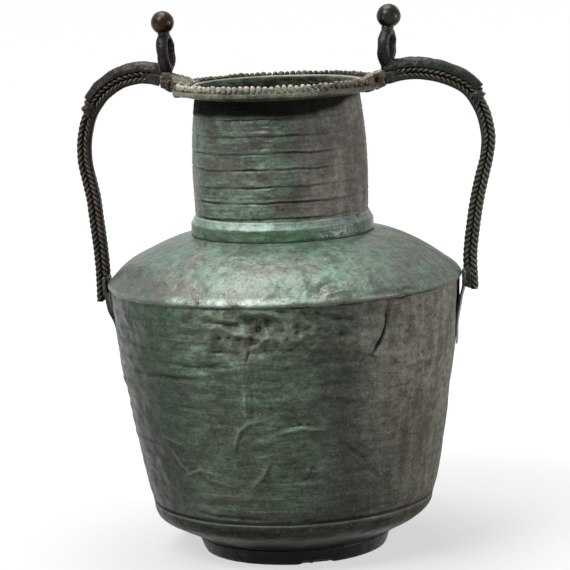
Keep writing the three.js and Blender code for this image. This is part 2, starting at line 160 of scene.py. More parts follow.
def sharpness(tree):
    """How far the metal stands out at a point: about a half where it is flat."""
    return add_node(tree, "ShaderNodeNewGeometry").outputs["Pointiness"]


def soot_and_shade_on(tree):
    """The darkness that a mesh carries on its points, dirt in part and painted shade in part: 1 is
    black, below zero is paler, worn in part and a painted highlight in part.
    """
    return add_node(tree, "ShaderNodeAttribute", {"attribute_name": "soot_and_shade"}).outputs["Fac"]


def dirt_and_shade_in_hollows(tree, shader, colour, low, high, dirt_and_shade):
    """Darkens what lies deep, and what the dark marks on a piece's points darken, dirt in part and
    painted shade in part. These dark marks mirror no light, so they are given as black metal."""
    deep = ramp(tree, sharpness(tree), high, low)
    soot_and_shade = soot_and_shade_on(tree)
    # paler where the marks go below zero: worn crests in part, a painted highlight in part
    colour = coated(tree, colour, (tint(150, 162, 146), soot_and_shade, 0.0, -1.0, 0.26))
    darkened = arithmetic(tree, "MAXIMUM", part_of(tree, deep, 0.8), soot_and_shade)
    clean_metal = shader.inputs["Metallic"].default_value
    swallow = add_node(tree, "ShaderNodeMapRange", Value=darkened, To_Min=clean_metal, To_Max=0.95)
    tree.links.new(swallow.outputs["Result"], shader.inputs["Metallic"])
    return mixed(tree, darkened, colour, dirt_and_shade)


def uneven_gloss(tree, shader, value, glossy, dull, matt=0.0):
    """Roughness that follows a pattern of the surface; dirt, painted shade and lime haze are dull."""
    rough = add_node(tree, "ShaderNodeMapRange", Value=value, From_Min=0.35, From_Max=0.65,
                     To_Min=glossy, To_Max=dull).outputs["Result"]
    dulled = arithmetic(tree, "MAXIMUM", rough, matt)
    tree.links.new(arithmetic(tree, "MAXIMUM", dulled, soot_and_shade_on(tree)), shader.inputs["Roughness"])


def dark_cast_finish(name, ground, warm, pale, shift, rub=0.5, gloss=(0.26, 0.5), metal=0.25,
                     rough_skin=1.0):
    """Cast bronze with a thin dark patina, worn pale where hands have been; the pale on what stands
    out is in part a painted highlight.
    """
    finish, tree, shader = new_finish(name, metal, 0.16)
    broad = grain(tree, 60, 7, 0.65, shift=shift)
    fine = grain(tree, 420, 8, 0.68, shift=shift)
    # pale on what stands out: worn in part, a painted highlight in part
    colour = coated(tree, ground, (warm, broad, 0.4, 0.62, 1), (pale, fine, 0.56, 0.72, 0.7),
                    (pale, sharpness(tree), 0.51, 0.6, rub))
    colour = dirt_and_shade_in_hollows(tree, shader, colour, 0.4, 0.49, tint(8, 8, 6))
    tree.links.new(colour, shader.inputs["Base Color"])
    uneven_gloss(tree, shader, fine, *gloss)
    set_relief(tree, shader, [(grain(tree, 420, 2, 0.5, shift=shift), 0.0004 * rough_skin),
                              (grain(tree, 130, 2, 0.5, shift=shift), 0.001 * rough_skin)])
    return finish


def turned_piece(name, outline, angles, press):
    """Spins a closed outline of (radius, height) points about the axis.

    press gives, for an angle, radius and height, how far the metal stands proud of its
    true shape; it moves both faces of a sheet alike, so that the sheet keeps its thickness.
    """
    count = len(outline)
    vertices = []
    soot_and_shade = []
    for angle in angles:
        turn = math.radians(angle)
        for radius, height, out, up in outline:
            shift, dark = press(angle, radius, height)
            r = radius + shift * out
            vertices.append((r * math.sin(turn) / 1000, -r * math.cos(turn) / 1000,
                             (height + shift * up) / 1000))
            soot_and_shade.append(dark)
    faces = []
    for i in range(len(angles)):
        here, there = i * count, (i + 1) % len(angles) * count
        for j in range(count):
            k = (j + 1) % count
            faces.append((here + j, there + j, there + k, here + k))
    return built(name, vertices, faces, soot_and_shade)


def built(name, vertices, faces, soot_and_shade=None):
    """A smooth-shaded object from points in metres, with its dark marks, dirt and painted shade, kept
    on the points.
    """
    mesh = bpy.data.meshes.new(name)
    mesh.from_pydata(vertices, [], faces)
    mesh.validate()
    mesh.shade_smooth()
    if soot_and_shade:
        mesh.attributes.new("soot_and_shade", "FLOAT", "POINT").data.foreach_set("value", soot_and_shade)
    piece = bpy.data.objects.new(name, mesh)
    bpy.context.collection.objects.link(piece)
    return piece


def outward(points):
    """Adds to each (radius, height) of a closed anticlockwise outline its outward normal."""
    result = []
    for i, (r, z) in enumerate(points):
        (r0, z0), (r1, z1) = points[i - 1], points[(i + 1) % len(points)]
        length = math.hypot(r1 - r0, z1 - z0) or 1
        result.append((r, z, (z1 - z0) / length, -(r1 - r0) / length))
    return result


def along(points, step):
    """Walks a line of (radius, height) points in even steps on a smooth curve."""
    line = [Vector((r, z)) for r, z in points]
    result = [line[0]]
    for i in range(len(line) - 1):
        before = line[max(i - 1, 0)]
        a, b = line[i], line[i + 1]
        after = line[min(i + 2, len(line) - 1)]
        pieces = max(1, round((b - a).length / step))
        for k in range(1, pieces + 1):
            t = k / pieces
            result.append(0.5 * (
                2 * a + (b - before) * t + (2 * before - 5 * a + 4 * b - after) * t * t
                + (3 * a - before - 3 * b + after) * t * t * t
            ))
    return [(p.x, p.y) for p in result]


def settle(piece, slot, finish, *nodes):
    """Gives a piece its finish, fixes it to the vessel and puts it in its node's place."""
    piece.data.materials.append(finish)
    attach(piece, "root")
    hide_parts(*nodes)


def lumps(angle, height, size, seed=0.0):
    """Smooth unevenness in hammered or cast metal, from -1 to 1."""
    turn = math.radians(angle)
    spot = Vector((math.sin(turn) * 100, -math.cos(turn) * 100, height)) / size
    return noise.noise(spot + Vector((seed, seed * 1.7, seed * 0.6)))


def turn_from(angle, middle):
    """How far an angle lies from a middle, the shorter way round."""
    return (angle - middle + 180) % 360 - 180


even_angles = [i * 1.0 for i in range(360)]
foot_dark = dark_cast_finish(
    "foot_dark", tint(14, 14, 11), tint(24, 20, 16), tint(60, 53, 44), 3.0, 0.3)


def foot_chips(angle, radius, height):
    """The ring's uneven skin, and the chips that are broken out of its lower edge."""
    bite = 0
    if height < 3:
        for middle, width, depth in ((14, 2.4, 2.2), (19.5, 1.5, 1.6), (23.5, 3.0, 2.4),
                                     (29, 1.8, 1.4), (-71, 3, 1.2), (118, 4, 1.6)):
            bite -= depth * math.exp(-turn_from(angle, middle) ** 2 / width ** 2)
    uneven = 0.3 * lumps(angle, height, 14, 2) + 0.4 * lumps(angle, 0, 60, 5)
    return min(uneven, 0 if height < 1 else 1) + bite, 0


foot_outline = outward(
    along([(71.4, 0.4), (72.4, 0), (74.6, 0), (75.6, 0.6)], 0.6)
    + along([(76.4, 3.5), (77.8, 7.5), (79.3, 11.4), (79.5, 12.6)], 1.2)
    + [(76.5, 12.7), (74.4, 12.7)]
    + along([(73.6, 10.5), (72.2, 5.5), (71.4, 1.6)], 1.6)
)
foot = turned_piece("foot", foot_outline, even_angles, foot_chips)
settle(foot, "dark_bronze", foot_dark, "foot_ring")


# The bottom dish: sheet bronze raised into a flat floor, a sloping underside and a rounded
# corner. Its edge stands up inside the wall, to which it is soldered.
def clipped(*values):
    """The least of some values, kept between 0 and 1."""
    return max(0, min(1, *values))


def soft_step(value, low, high):
    """Rises smoothly from 0 to 1 while the value goes from low to high."""
    t = clipped((value - low) / (high - low))
    return t * t * (3 - 2 * t)


def crease_near(angle, height, radius, creases):
    """Sums the folds near a point: (points, width, rise, step, soot and shade) with points as angles
    and heights. rise lifts the line itself, step lifts what is above it and sinks what is below it,
    and soot and shade darken the line. The darkness comes back below zero on high crests, which are
    paler: worn in part, a painted highlight in part."""
    total = dark = lightened = 0
    per_degree = math.radians(radius)
    for points, width, rise, step, soot_and_shade in creases:
        reach = 3.2 * width
        if not (min(p[1] for p in points) - reach < height < max(p[1] for p in points) + reach):
            continue
        low, high = min(p[0] for p in points), max(p[0] for p in points)
        if not (low - reach / per_degree < angle < high + reach / per_degree):
            continue
        nearest, side, place = 1e9, 0, 0
        for i in range(len(points) - 1):
            ax, ay = (points[i][0] - angle) * per_degree, points[i][1] - height
            bx, by = (points[i + 1][0] - angle) * per_degree, points[i + 1][1] - height
            dx, dy = bx - ax, by - ay
            t = clipped(-(ax * dx + ay * dy) / (dx * dx + dy * dy))
            px, py = ax + t * dx, ay + t * dy
            gap = math.hypot(px, py)
            if gap < nearest:
                nearest, side = gap, math.copysign(1, dx * -ay + dy * ax)
                place = (i + t) / (len(points) - 1)
        fade = math.sin(math.pi * clipped(0.08 + 0.84 * place)) ** 0.6
        near = math.exp(-(nearest / width) ** 2)
        total += rise * near * fade
        if step:
            wide = math.exp(-(nearest / (2.2 * width)) ** 2)
            total += step * side * math.tanh(nearest / (0.5 * width)) * wide * fade
        dark = max(dark, soot_and_shade * math.exp(-(nearest / (0.6 * width)) ** 2) * fade)
        # high crests are painted paler: worn in part, a painted highlight in part
        if rise > 0.7:
            lightened = max(lightened, 0.75 * math.exp(-(nearest / (0.5 * width)) ** 2) * fade)
    return total, dark if dark > 0.1 else -lightened


def hollow(angle, height, radius, middle, level, wide, tall, depth):
    """A soft dent or swelling, given by its middle, half-widths and depth."""
    u = turn_from(angle, middle) * math.radians(radius) / wide
    v = (height - level) / tall
    return depth * math.exp(-u * u - v * v)


def raising_marks(angle, height, seed, pitch=11.6, depth=0.5):
    """The courses that the hammer leaves: low steps that run round the sheet, and a painted shadow
    line along each step. They are weaker on the right, and weakest towards the handles."""
    wander = 2.6 * lumps(angle, height, 90, seed) + 1.1 * lumps(angle, height, 30, seed + 4)
    phase = (height + wander) / pitch % 1
    saw = phase - 0.5 if phase < 0.82 else 0.32 - (phase - 0.82) * 4.55
    strength = max(0, 0.75 + 0.9 * lumps(angle, height, 45, seed + 8))
    if angle > 14:
        strength *= 0.5
    strength *= max(0.1, min(1, (80 - abs(angle + 10)) / 22))
    # the painted shadow line along each step
    line = math.exp(-((phase - 0.92) / 0.055) ** 2)
    return depth * saw * 1.6 * strength, 0.5 * line * strength


def hammered(angle, height):
    """Unevenness that dish, wall and shoulder share where one is lapped over the other."""
    return (0.9 * lumps(angle, height, 62, 3) + 0.5 * lumps(angle, height, 24, 9)
            + 0.24 * lumps(angle, height, 10, 5) + 0.1 * lumps(angle, height, 5, 2))


def shade_and_patina_across(tree, colour, across, stops):
    """Painted shade, in part uneven patina: darkens a colour by shares that change from left to
    right. A stop is (x, share), and its share is one number or three for red, green and blue."""
    half_span = 150
    place = add_node(tree, "ShaderNodeMapRange", Value=across, From_Min=-half_span / 1000,
                     From_Max=half_span / 1000)
    band = add_node(tree, "ShaderNodeValToRGB", Fac=place.outputs["Result"])
    elements = band.color_ramp.elements
    for x, share in stops:
        red, green, blue = share if isinstance(share, tuple) else (share, share, share)
        elements.new((x + half_span) / (2 * half_span)).color = (red, green, blue, 1)
    elements.remove(elements[0])
    elements.remove(elements[-1])
    return mixed(tree, 1.0, colour, band.outputs["Color"], "MULTIPLY")


def position(tree):
    """Where a point is on the vessel, in metres: all of it, its x and its height."""
    place = add_node(tree, "ShaderNodeTexCoord").outputs["Object"]
    spread = add_node(tree, "ShaderNodeSeparateXYZ", Vector=place).outputs
    return place, spread["X"], spread["Z"]


def upward(tree):
    """How far the surface faces up: 1 on top, 0 on a wall."""
    facing = add_node(tree, "ShaderNodeNewGeometry").outputs["Normal"]
    return add_node(tree, "ShaderNodeSeparateXYZ", Vector=facing).outputs["Z"]


def sheet_finish(name, dark, green, bloom, earth, shift, bloom_share=0.5, earth_share=0.5,
                 haze_share=0.8, smear=(0.5, 0.5, 1.2), tone_by_facing_light=None, specular=0.32,
                 haze=(0.12, 0.2, 0.16), stops=None, rust=0.35, ridge_highlight=None):
    """Hammered sheet with a green patina, hazed with grey lime towards the right."""
    finish, tree, shader = new_finish(name, 0.06, specular)
    place, across, height = position(tree)
    broad = grain(tree, 16, 6, 0.6, smear, 0.4, shift)
    clouds = grain(tree, 44, 8, 0.68, smear, 0.3, shift + 2)
    mottle = grain(tree, 190, 8, 0.72, smear, 0.2, shift + 3)
    streaks = grain(tree, 110, 7, 0.66, (1, 1, 0.16), 0.3, shift + 4)
    bands = grain(tree, 75, 6, 0.6, (0.1, 0.1, 1.2), 0.0, shift + 5)
    strokes = grain(tree, 230, 7, 0.7, (0.3, 0.3, 1), 0.4, shift + 7)
    specks = grain(tree, 420, 6, 0.7, shift=shift + 6)
    grit = grain(tree, 380, 7, 0.78, shift=shift + 9)
    patchy = arithmetic(tree, "ADD", part_of(tree, clouds, 0.55), part_of(tree, mottle, 0.45))
    colour = coated(
        tree, dark, (green, patchy, 0.42, 0.57, 1), (earth, broad, 0.48, 0.62, earth_share),
        (bloom, patchy, 0.51, 0.63, bloom_share), (dark, bands, 0.5, 0.62, 0.35),
        (bloom, strokes, 0.54, 0.66, 0.3), (tint(32, 34, 26), strokes, 0.46, 0.36, 0.3))
    if tone_by_facing_light:
        # painted light: what faces up is painted paler, as a highlight, and the turned-down edge
        # darker, as shade
        low_tone = coated(tree, tone_by_facing_light[0], (tone_by_facing_light[1], patchy, 0.42, 0.58, 1))
        colour = coated(tree, low_tone, (colour, upward(tree), 0.3, 0.62, 1))
    # grey haze, running down in fibres, on the right-hand side of the body
    drifted = arithmetic(tree, "ADD", across, part_of(tree, clouds, haze[2]))
    hazed = ramp(tree, drifted, haze[0], haze[1])
    woolly = arithmetic(tree, "ADD", part_of(tree, streaks, 0.35), part_of(tree, mottle, 0.35))
    woolly = arithmetic(tree, "ADD", woolly, part_of(tree, broad, 0.3))
    fibres = coated(tree, tint(82, 73, 65), (tint(138, 133, 124), woolly, 0.42, 0.58, 1))
    colour = mixed(tree, part_of(tree, hazed, haze_share), colour, fibres)
    # painted shade from left to right, in part uneven patina
    if stops:
        wavy = arithmetic(tree, "ADD", across, part_of(tree, broad, 0.05))
        colour = shade_and_patina_across(tree, colour, arithmetic(tree, "SUBTRACT", wavy, 0.025), stops)
    if ridge_highlight:
        # a painted highlight along the ridge's edge, between two heights and two sides
        low, high, left, right = ridge_highlight
        lightened = 0.9
        for value, outer, inner in (
                (height, low, low + 0.002), (height, high, high - 0.004),
                (across, left, left + 0.03), (across, right, right - 0.04), (clouds, 0.38, 0.54)):
            lightened = part_of(tree, ramp(tree, value, outer, inner), lightened)
        colour = mixed(tree, lightened, colour, tint(190, 204, 194))
    # painted shade: the wall darkens downwards, most of all on its left
    colour = coated(tree, colour, (tint(44, 41, 33), height, 0.21, 0.03, 0.4))
    low_left = part_of(tree, ramp(tree, across, -0.05, -0.12), ramp(tree, height, 0.22, 0.1))
    colour = mixed(tree, part_of(tree, low_left, 0.85), colour, tint(14, 17, 11))
    colour = coated(
        tree, colour, (tint(142, 108, 70), specks, 0.61, 0.7, rust),
        (tint(24, 26, 18), mottle, 0.42, 0.32, 0.5), (tint(148, 158, 142), grit, 0.54, 0.68, 0.24),
        (tint(12, 14, 9), grit, 0.49, 0.37, 0.6),
        (tint(150, 158, 142), sharpness(tree), 0.51, 0.57, 0.45))
    colour = dirt_and_shade_in_hollows(tree, shader, colour, 0.455, 0.492, tint(9, 10, 7))
    tree.links.new(colour, shader.inputs["Base Color"])
    uneven_gloss(tree, shader, patchy, 0.28, 0.54, part_of(tree, hazed, 0.72))
    facets = add_node(tree, "ShaderNodeTexVoronoi", {"feature": "SMOOTH_F1"},
                      Vector=place, Scale=85.0, Smoothness=0.7).outputs["Distance"]
    set_relief(tree, shader, [(grain(tree, 400, 2, 0.5, shift=shift), 0.0004),
                              (grain(tree, 150, 2, 0.5, smear, 0.3, shift), 0.001),
                              (grain(tree, 200, 2, 0.5, (0.2, 0.2, 1), 0.0, shift), 0.0007),
                              (facets, 0.0011)])
    return finish


dish_green = sheet_finish(
    "dish_green", tint(15, 15, 11), tint(29, 34, 25), tint(56, 67, 54), tint(33, 28, 22), 7.0,
    0.35, 0.7, 0.3, specular=0.14)

# closer steps in front, where the sheet is most crumpled
sheet_angles = (
    [-180 + i * 1.0 for i in range(130)] + [-50 + i * 0.5 for i in range(230)]
    + [65 + i * 1.0 for i in range(115)]
)
dish_floor_edge = 82  # radius at which the flat floor ends
dish_under = along([(30, 13), (60, 13), (78, 13.2), (82, 14.8), (88, 18), (96, 22.3), (102.5, 25.6),
                    (108.5, 29.6), (112.4, 33.6), (114.4, 37.5), (115.3, 42.6)], 2.0)
dish_within = along([(112.9, 50.4), (112.9, 43), (111.6, 38), (108.6, 33), (104.6, 29),
                     (98, 24.4), (90.4, 19.6), (84, 15.4), (78, 14.6), (60, 14.6), (30, 14.6)], 4.5)


def dish_press(angle, radius, height):
    if radius < dish_floor_edge:
        return 0, 0
    soft = min(1, (radius - dish_floor_edge) / 10)
    folds, dark = crease_near(angle, height, 112, [
        ([(-40, 40), (-30, 38), (-22, 36), (-8, 36.5), (2, 35)], 2.2, -0.9, 0.5, 0.8),
        ([(4, 33), (14, 34.5), (26, 33)], 2.0, -0.6, 0.4, 0.6),
        ([(34, 35), (44, 38), (56, 36)], 2.4, -0.9, 0.5, 0.6),
        ([(38, 30), (50, 32), (60, 31)], 2.0, 0.8, 0.0, 0.0),
        ([(-60, 30), (-48, 28), (-34, 29)], 2.0, -0.7, 0.4, 0.5),
    ])
    folds *= clipped((42 - height) / 4)
    folds += (hollow(angle, height, 110, -90, 30, 80, 7, 1.5)
              + hollow(angle, height, 112, 10, 34, 60, 6, 0.7))
    # darker towards the bottom of the dish
    lower_darkening = clipped((31 - height - 5 * lumps(angle, height, 22, 13)) / 15) * 0.78
    return soft * (hammered(angle, height) + folds), max(dark, lower_darkening)


dish = turned_piece("bottom", [(1.5, 13, 0, -1)] + outward(dish_under)[1:-1]
                    + [(115.3, 42.75, 1, 0), (113.6, 42.85, 1, 0), (113.0, 50.5, 1, 0),
                       (111.5, 50.5, 1, 0)]
                    + [(r - 1.4, z, a, b) for r, z, a, b in outward(dish_within)[1:-1]]
                    + [(1.5, 14.6, 0, -1)], sheet_angles, dish_press)
settle(dish, "green_bronze", dish_green, "bottom_dish")


# The wall: one hammered sheet, wider at the top, worn thin and crumpled under the ridge in
# front, with a split to the right of the dent and old creases lower down.
wall_outline = [(115.4, 42.95), (117.6, 50), (119.6, 57), (121.2, 64), (123.3, 74), (125.3, 85),
                (127.6, 99), (129.8, 112), (132.2, 129), (134.8, 144), (137.2, 159),
                (139.4, 177), (141, 195), (142.4, 210), (143.1, 222.5)]
wall_creases = [
    # the split right of the dent, open at its lower end
    ([(41.7, 220), (41.9, 213), (41.5, 205)], 2.2, -1.2, 0.5, 0.2),
    ([(41.8, 209), (41.4, 201), (40.3, 193), (38.8, 187), (36.2, 177)], 1.3, -2.4, 0.6, 1.0),
    ([(40.4, 195), (39.0, 188), (37.4, 181.5)], 1.7, -1.6, 0.0, 1.0),
    ([(35.4, 178), (33.7, 176.6), (31.6, 171.7)], 1.3, -0.8, 0.4, 0.5),
    # the small slit left of the middle and the upright crease under it
    ([(-4.4, 188), (-5.1, 182.5), (-5.8, 177.5)], 1.0, -1.4, 0.0, 1.0),
    ([(-7.0, 174), (-6.6, 160), (-7.0, 147), (-7.6, 131)], 2.0, 0.9, 0.0, 0.0),
    ([(-4.2, 158), (-4.6, 147), (-4.8, 132)], 1.8, -0.8, 0.0, 0.35),
    # folds of the crumpled place under the ridge
    ([(-15.5, 213), (-11.5, 212), (-8.5, 210.5), (-5, 206)], 2.4, 0.8, 0.7, 0.0),
    ([(-16, 210), (-11, 209.5), (-7, 206)], 1.3, -0.5, 0.0, 0.4),
    ([(-5, 203), (-1, 208), (3, 214)], 2.4, 0.6, 0.7, 0.0),
    ([(-7, 198), (-1, 201), (6, 205), (12, 203)], 2.4, 0.6, 0.8, 0.0),
    ([(3.8, 179), (6, 190), (10, 197), (15, 203)], 2.6, 0.9, -0.7, 0.0),
    ([(6, 196), (9, 206), (10, 214)], 2.2, 0.5, 0.5, 0.0),
    ([(9.5, 200), (16, 207), (22, 211), (28, 211.5)], 2.6, 0.9, 0.8, 0.0),
    ([(12, 215), (18, 215), (24, 211), (29, 209)], 2.0, -0.9, 0.0, 0.5),
    ([(13, 198), (20, 196), (27, 199)], 2.6, -0.9, 0.5, 0.3),
    # loops and scratches of the lower half
    ([(-12.4, 104), (-11.4, 115), (-9.5, 123), (-6, 128.5), (-1.7, 131), (3.6, 127)],
     1.7, 1.6, 0.8, 0.0),
    ([(2.5, 120), (7, 123), (12, 124.5), (20, 122)], 1.6, 1.4, -1.0, 0.0),
    ([(10, 132), (13, 128), (12, 124)], 1.4, 1.3, 0.0, 0.3),
    ([(22, 118), (28.7, 105.4), (33.5, 97), (36, 92)], 2.0, -0.6, 0.5, 0.15),
    ([(-44, 112), (-38, 108.8), (-31, 103.8)], 1.6, 1.4, 0.6, 0.0),
    ([(-40, 100), (-36, 88), (-33, 82)], 1.8, 1.1, 0.6, 0.0),
    ([(-35.5, 81.6), (-28, 88), (-18.5, 84.6)], 1.7, 1.4, -0.6, 0.0),
    ([(-26, 82), (-18, 78), (-13, 75)], 1.6, 1.3, 0.0, 0.0),
    ([(-6.9, 75.5), (-2.5, 86), (0, 97)], 1.8, 1.6, 0.6, 0.0),
    ([(-7, 104), (-3, 101), (2, 104)], 1.5, 1.3, 0.0, 0.0),
    ([(38, 86), (42, 78), (48, 82)], 1.6, 1.1, 0.0, 0.3),
    ([(10, 78), (14, 84), (15, 92)], 1.6, -1.0, 0.0, 0.3),
    # dark line of the joint with the dish
    ([(-33, 52), (-24, 49.5), (-10, 49.5), (-2, 47)], 1.7, -1.1, 0.5, 0.85),
    ([(0, 48), (8, 46), (18, 48)], 1.5, -0.8, 0.3, 0.55),
    ([(34, 50), (42, 53), (54, 50)], 2.0, -0.8, 0.5, 0.5),
    # deeper marks of the raising
    ([(-42, 181), (-32, 176), (-24, 174), (-12, 176)], 2.2, -0.6, 0.5, 0.25),
    ([(-46, 170), (-36, 165), (-20, 163)], 2.0, -0.7, 0.5, 0.4),
    ([(-40, 195), (-26, 192), (-10, 194)], 1.8, -0.4, 0.3, 0.25),
    ([(50, 167), (56, 168), (64, 166)], 1.9, 1.0, 0.4, 0.0),
    ([(8, 162), (18, 158), (30, 160)], 2.0, -0.6, 0.5, 0.35),
    ([(-39, 176.5), (-27.4, 174), (-21.6, 173.3), (-9.5, 180)], 1.5, -0.5, 0.3, 0.4),
    ([(-54, 164), (-36.8, 163.8), (-15, 165.4)], 1.4, -0.7, 0.3, 0.6),
    ([(-38, 141), (-29.5, 140.7), (-21.5, 140)], 1.4, -0.6, 0.3, 0.5),
    ([(-24, 212), (-14.8, 210.9), (-7, 208.5)], 1.3, -0.7, 0.3, 0.5),
    ([(6, 185), (6.5, 186.8), (10.3, 191.9), (13.6, 199.4), (19, 207)], 2.0, 0.9, 0.5, 0.0),
]
# its dents and swellings, each as angle, height, half-width, half-height and depth
wall_hollows = (
    (15, 207, 46, 13, -4.6), (-2, 190, 22, 12, -1.6), (2, 200, 10, 8, 1.8),
    (24, 165, 38, 24, -3.2), (20, 112, 30, 26, -2.0), (52, 172, 24, 34, 1.6),
    (-34, 92, 26, 22, -1.4), (-85, 72, 90, 26, -1.0), (205, 150, 60, 40, -2.2),
)
sheet_thickness = 1.6  # of the wall and the neck
wall_foot, ridge_foot = 43, 222  # heights of the joint with the dish and of the lap above


def ridge_shift(angle):
    """Dents of the edge where the wall and the shoulder are lapped, which both follow."""
    shift = 0.7 * lumps(angle, 224, 48, 14) + 0.3 * lumps(angle, 224, 13, 16)
    for middle, wide, depth in ((5, 8, -0.5), (12.5, 9, -1.3), (28, 9, -1.1), (47.5, 5, -1.6)):
        shift += hollow(angle, 0, 145, middle, 0, wide, 1, depth)
    return shift


def crumpled(angle, height, seed):
    """Sharp small folds, as in paper that was crushed and smoothed out again: how far they stand up,
    and how dark they are painted, below zero where their crests are paler: worn in part, a painted
    highlight in part."""
    coarse = abs(lumps(angle, height, 21, seed))
    middle = abs(lumps(angle, height, 10.5, seed + 3))
    fine = abs(lumps(angle, height, 5.5, seed + 5))
    rise = 8.0 * (0.2 - coarse) + 4.6 * (0.2 - middle) + 1.3 * (0.2 - fine)
    crest = max(0.9 - coarse / 0.06, 0.7 - middle / 0.06, 0)
    return rise, 0.5 * max(0, 1 - fine / 0.06) if coarse > 0.25 else -crest


def wall_press(angle, radius, height):
    folds, dark = crease_near(angle, height, radius, wall_creases)
    worn = hollow(angle, height, radius, 2, 203, 60, 26, 1.0)
    if worn > 0.03:
        rise, dirt_and_shade = crumpled(angle, height, 21)
        folds += 1.5 * rise * worn
        dark = dark if dark > 0.1 else dirt_and_shade * min(1, 1.3 * worn)
    for dent in wall_hollows:
        folds += hollow(angle, height, radius, *dent)
    # the hammer courses, with a painted shadow line along each
    step, dirt_and_shade = raising_marks(angle, height, 12, depth=0.9)
    folds += step
    if dirt_and_shade > abs(dark) + 0.05:
        dark = dirt_and_shade
    folds *= clipped((height - wall_foot) / 6)
    # the unevenness is weaker at both edges and towards the handles
    inner = clipped((height - 52) / 14, (218 - height) / 8)
    inner *= max(0.2, min(1, (84 - abs(angle + 6)) / 24))
    shift = hammered(angle, height) + folds + inner * (
        0.9 * lumps(angle, height, 17, 62) + 0.5 * lumps(angle, height, 8.5, 66))
    edge = soft_step(height, ridge_foot - 4.5, ridge_foot)
    if height < wall_foot + 2.5:
        # the joint with the dish is black with dirt
        dark = max(dark, 0.75)
    return shift * (1 - edge) + (ridge_shift(angle) - 0.25) * edge, dark


wall_within = [(r - sheet_thickness, z) for r, z in reversed(wall_outline)]
wall = turned_piece(
    "wall",
    [(r, z, 1, 0) for r, z in along(wall_outline, 1.5)]
    + [(r, z, 1, 0) for r, z in along(wall_within, 4.5)],
    sheet_angles, wall_press)
# its stops paint shade: darkest at the left edge and to the right of the middle
body_green = sheet_finish(
    "body_green", tint(72, 82, 68), tint(100, 124, 102), tint(144, 164, 146),
    tint(106, 98, 86), 1.0, 0.7, 0.42, 0.85, specular=0.2, haze=(0.1, 0.17, 0.14), stops=(
        (-120, (0.13, 0.21, 0.13)), (-78, (0.46, 0.53, 0.46)), (-52, 0.96), (-28, 1.0),
        (0, 0.95), (20, 0.8), (42, 0.5), (60, 0.32), (80, 0.75), (113, 0.95), (140, 0.9)))
settle(wall, "green_bronze", body_green, "body_wall")


# The shoulder: a low dome of sheet, its edge turned down over the wall as a ridge. In front it is
# dented, and at the left of the middle its ridge carries a painted highlight.
shoulder_rise = [(143.9, 221.6), (144.7, 222.8), (144.9, 223.9), (144.6, 224.9), (143.7, 226),
                 (138.5, 231.2), (131.7, 236.8), (124, 242), (115.5, 247), (107, 251.6),
                 (97, 256.2), (86, 259.6), (76, 261.6), (71, 262)]
shoulder_creases = [
    ([(6, 236), (10, 232), (13, 228)], 2.0, -1.2, 0.0, 0.25),
    ([(13, 240), (15, 234), (14, 229)], 1.8, 1.0, 0.5, 0.0),
    ([(18, 230), (20, 236), (24, 239)], 1.8, -1.0, 0.4, 0.3),
    ([(20, 228), (26, 231), (33, 231)], 2.0, 1.3, 0.5, 0.0),
    ([(24, 243), (32, 245), (40, 243)], 2.0, 0.9, 0.5, 0.0),
    ([(28, 226), (38, 227.5), (46, 227)], 1.7, -0.7, 0.3, 0.35),
    ([(0, 228), (4, 232), (5, 238)], 1.6, 0.7, 0.0, 0.0),
    ([(46, 226), (49, 228), (53, 226)], 1.6, -0.9, 0.0, 0.6),
]
# its dents, each as radius, angle, height, half-width, half-height and depth
shoulder_hollows = (
    (140, 12, 231, 16, 6, -2.2), (140, 27, 235, 20, 7, -1.8), (120, 40, 245, 26, 8, -0.9),
    (130, -150, 240, 40, 9, -1.4), (125, -88, 240, 70, 9, 1.9), (125, 96, 240, 60, 9, -1.0),
)


def shoulder_press(angle, radius, height):
    folds, dark = crease_near(angle, height, radius, shoulder_creases)
    shift = hammered(angle, height) + folds + 0.4 * lumps(angle, height, 20, 27)
    for dent in shoulder_hollows:
        shift += hollow(angle, height, *dent)
    shift *= clipped((radius - 72) / 12)
    edge = soft_step(height, 229, 224)
    line = max(0, 1 - abs(height - 221.3) / 0.9) * (0.4 + 0.8 * lumps(angle, 0, 18, 45))
    rub = hollow(angle, height, 140, 14, 228, 46, 16, 1.0)
    if rub > 0.05:
        rise, dirt_and_shade = crumpled(angle, height, 25)
        shift += 0.45 * rise * rub
        dark = dark if dark > 0.1 else 0.6 * dirt_and_shade * rub
    return (shift * (1 - edge) + ridge_shift(angle) * edge,
            0.7 * line if 0.7 * line > abs(dark) else dark)


# painted highlight along the ridge, painted shade on the turned-down edge and from left to right
shoulder_green = sheet_finish(
    "shoulder_green", tint(84, 94, 82), tint(106, 134, 115), tint(126, 164, 142),
    tint(124, 116, 106), 12.0, 0.5, 0.55, 0.35, (0.8, 0.8, 1),
    (tint(52, 58, 47), tint(78, 102, 78)), 0.5, stops=(
        (-130, 0.36), (-95, 0.46), (-60, 0.62), (-30, 0.9), (10, 0.95), (50, 0.95), (85, 0.62),
        (130, 0.5)), ridge_highlight=(0.2222, 0.2305, -0.085, 0.025))
shoulder_outer = outward([(143.3, 221.4), (143.5, 221.0)] + along(shoulder_rise, 1.2)
                         + [(71, 260)])[1:-1]
shoulder_inner = [(r * 0.989 + 0.4, z - 1.7) for r, z in reversed(shoulder_rise)][:-1]
shoulder_shell = turned_piece(
    "shoulder_shell",
    shoulder_outer
    + [(r, z, 0.45, 0.9) for r, z in along(shoulder_inner, 4)]
    + [(143.3, 223.2, 0.8, 0.5), (143.2, 221.2, 1, 0)],
    sheet_angles, shoulder_press)
settle(shoulder_shell, "grey_green_bronze", shoulder_green, "shoulder")


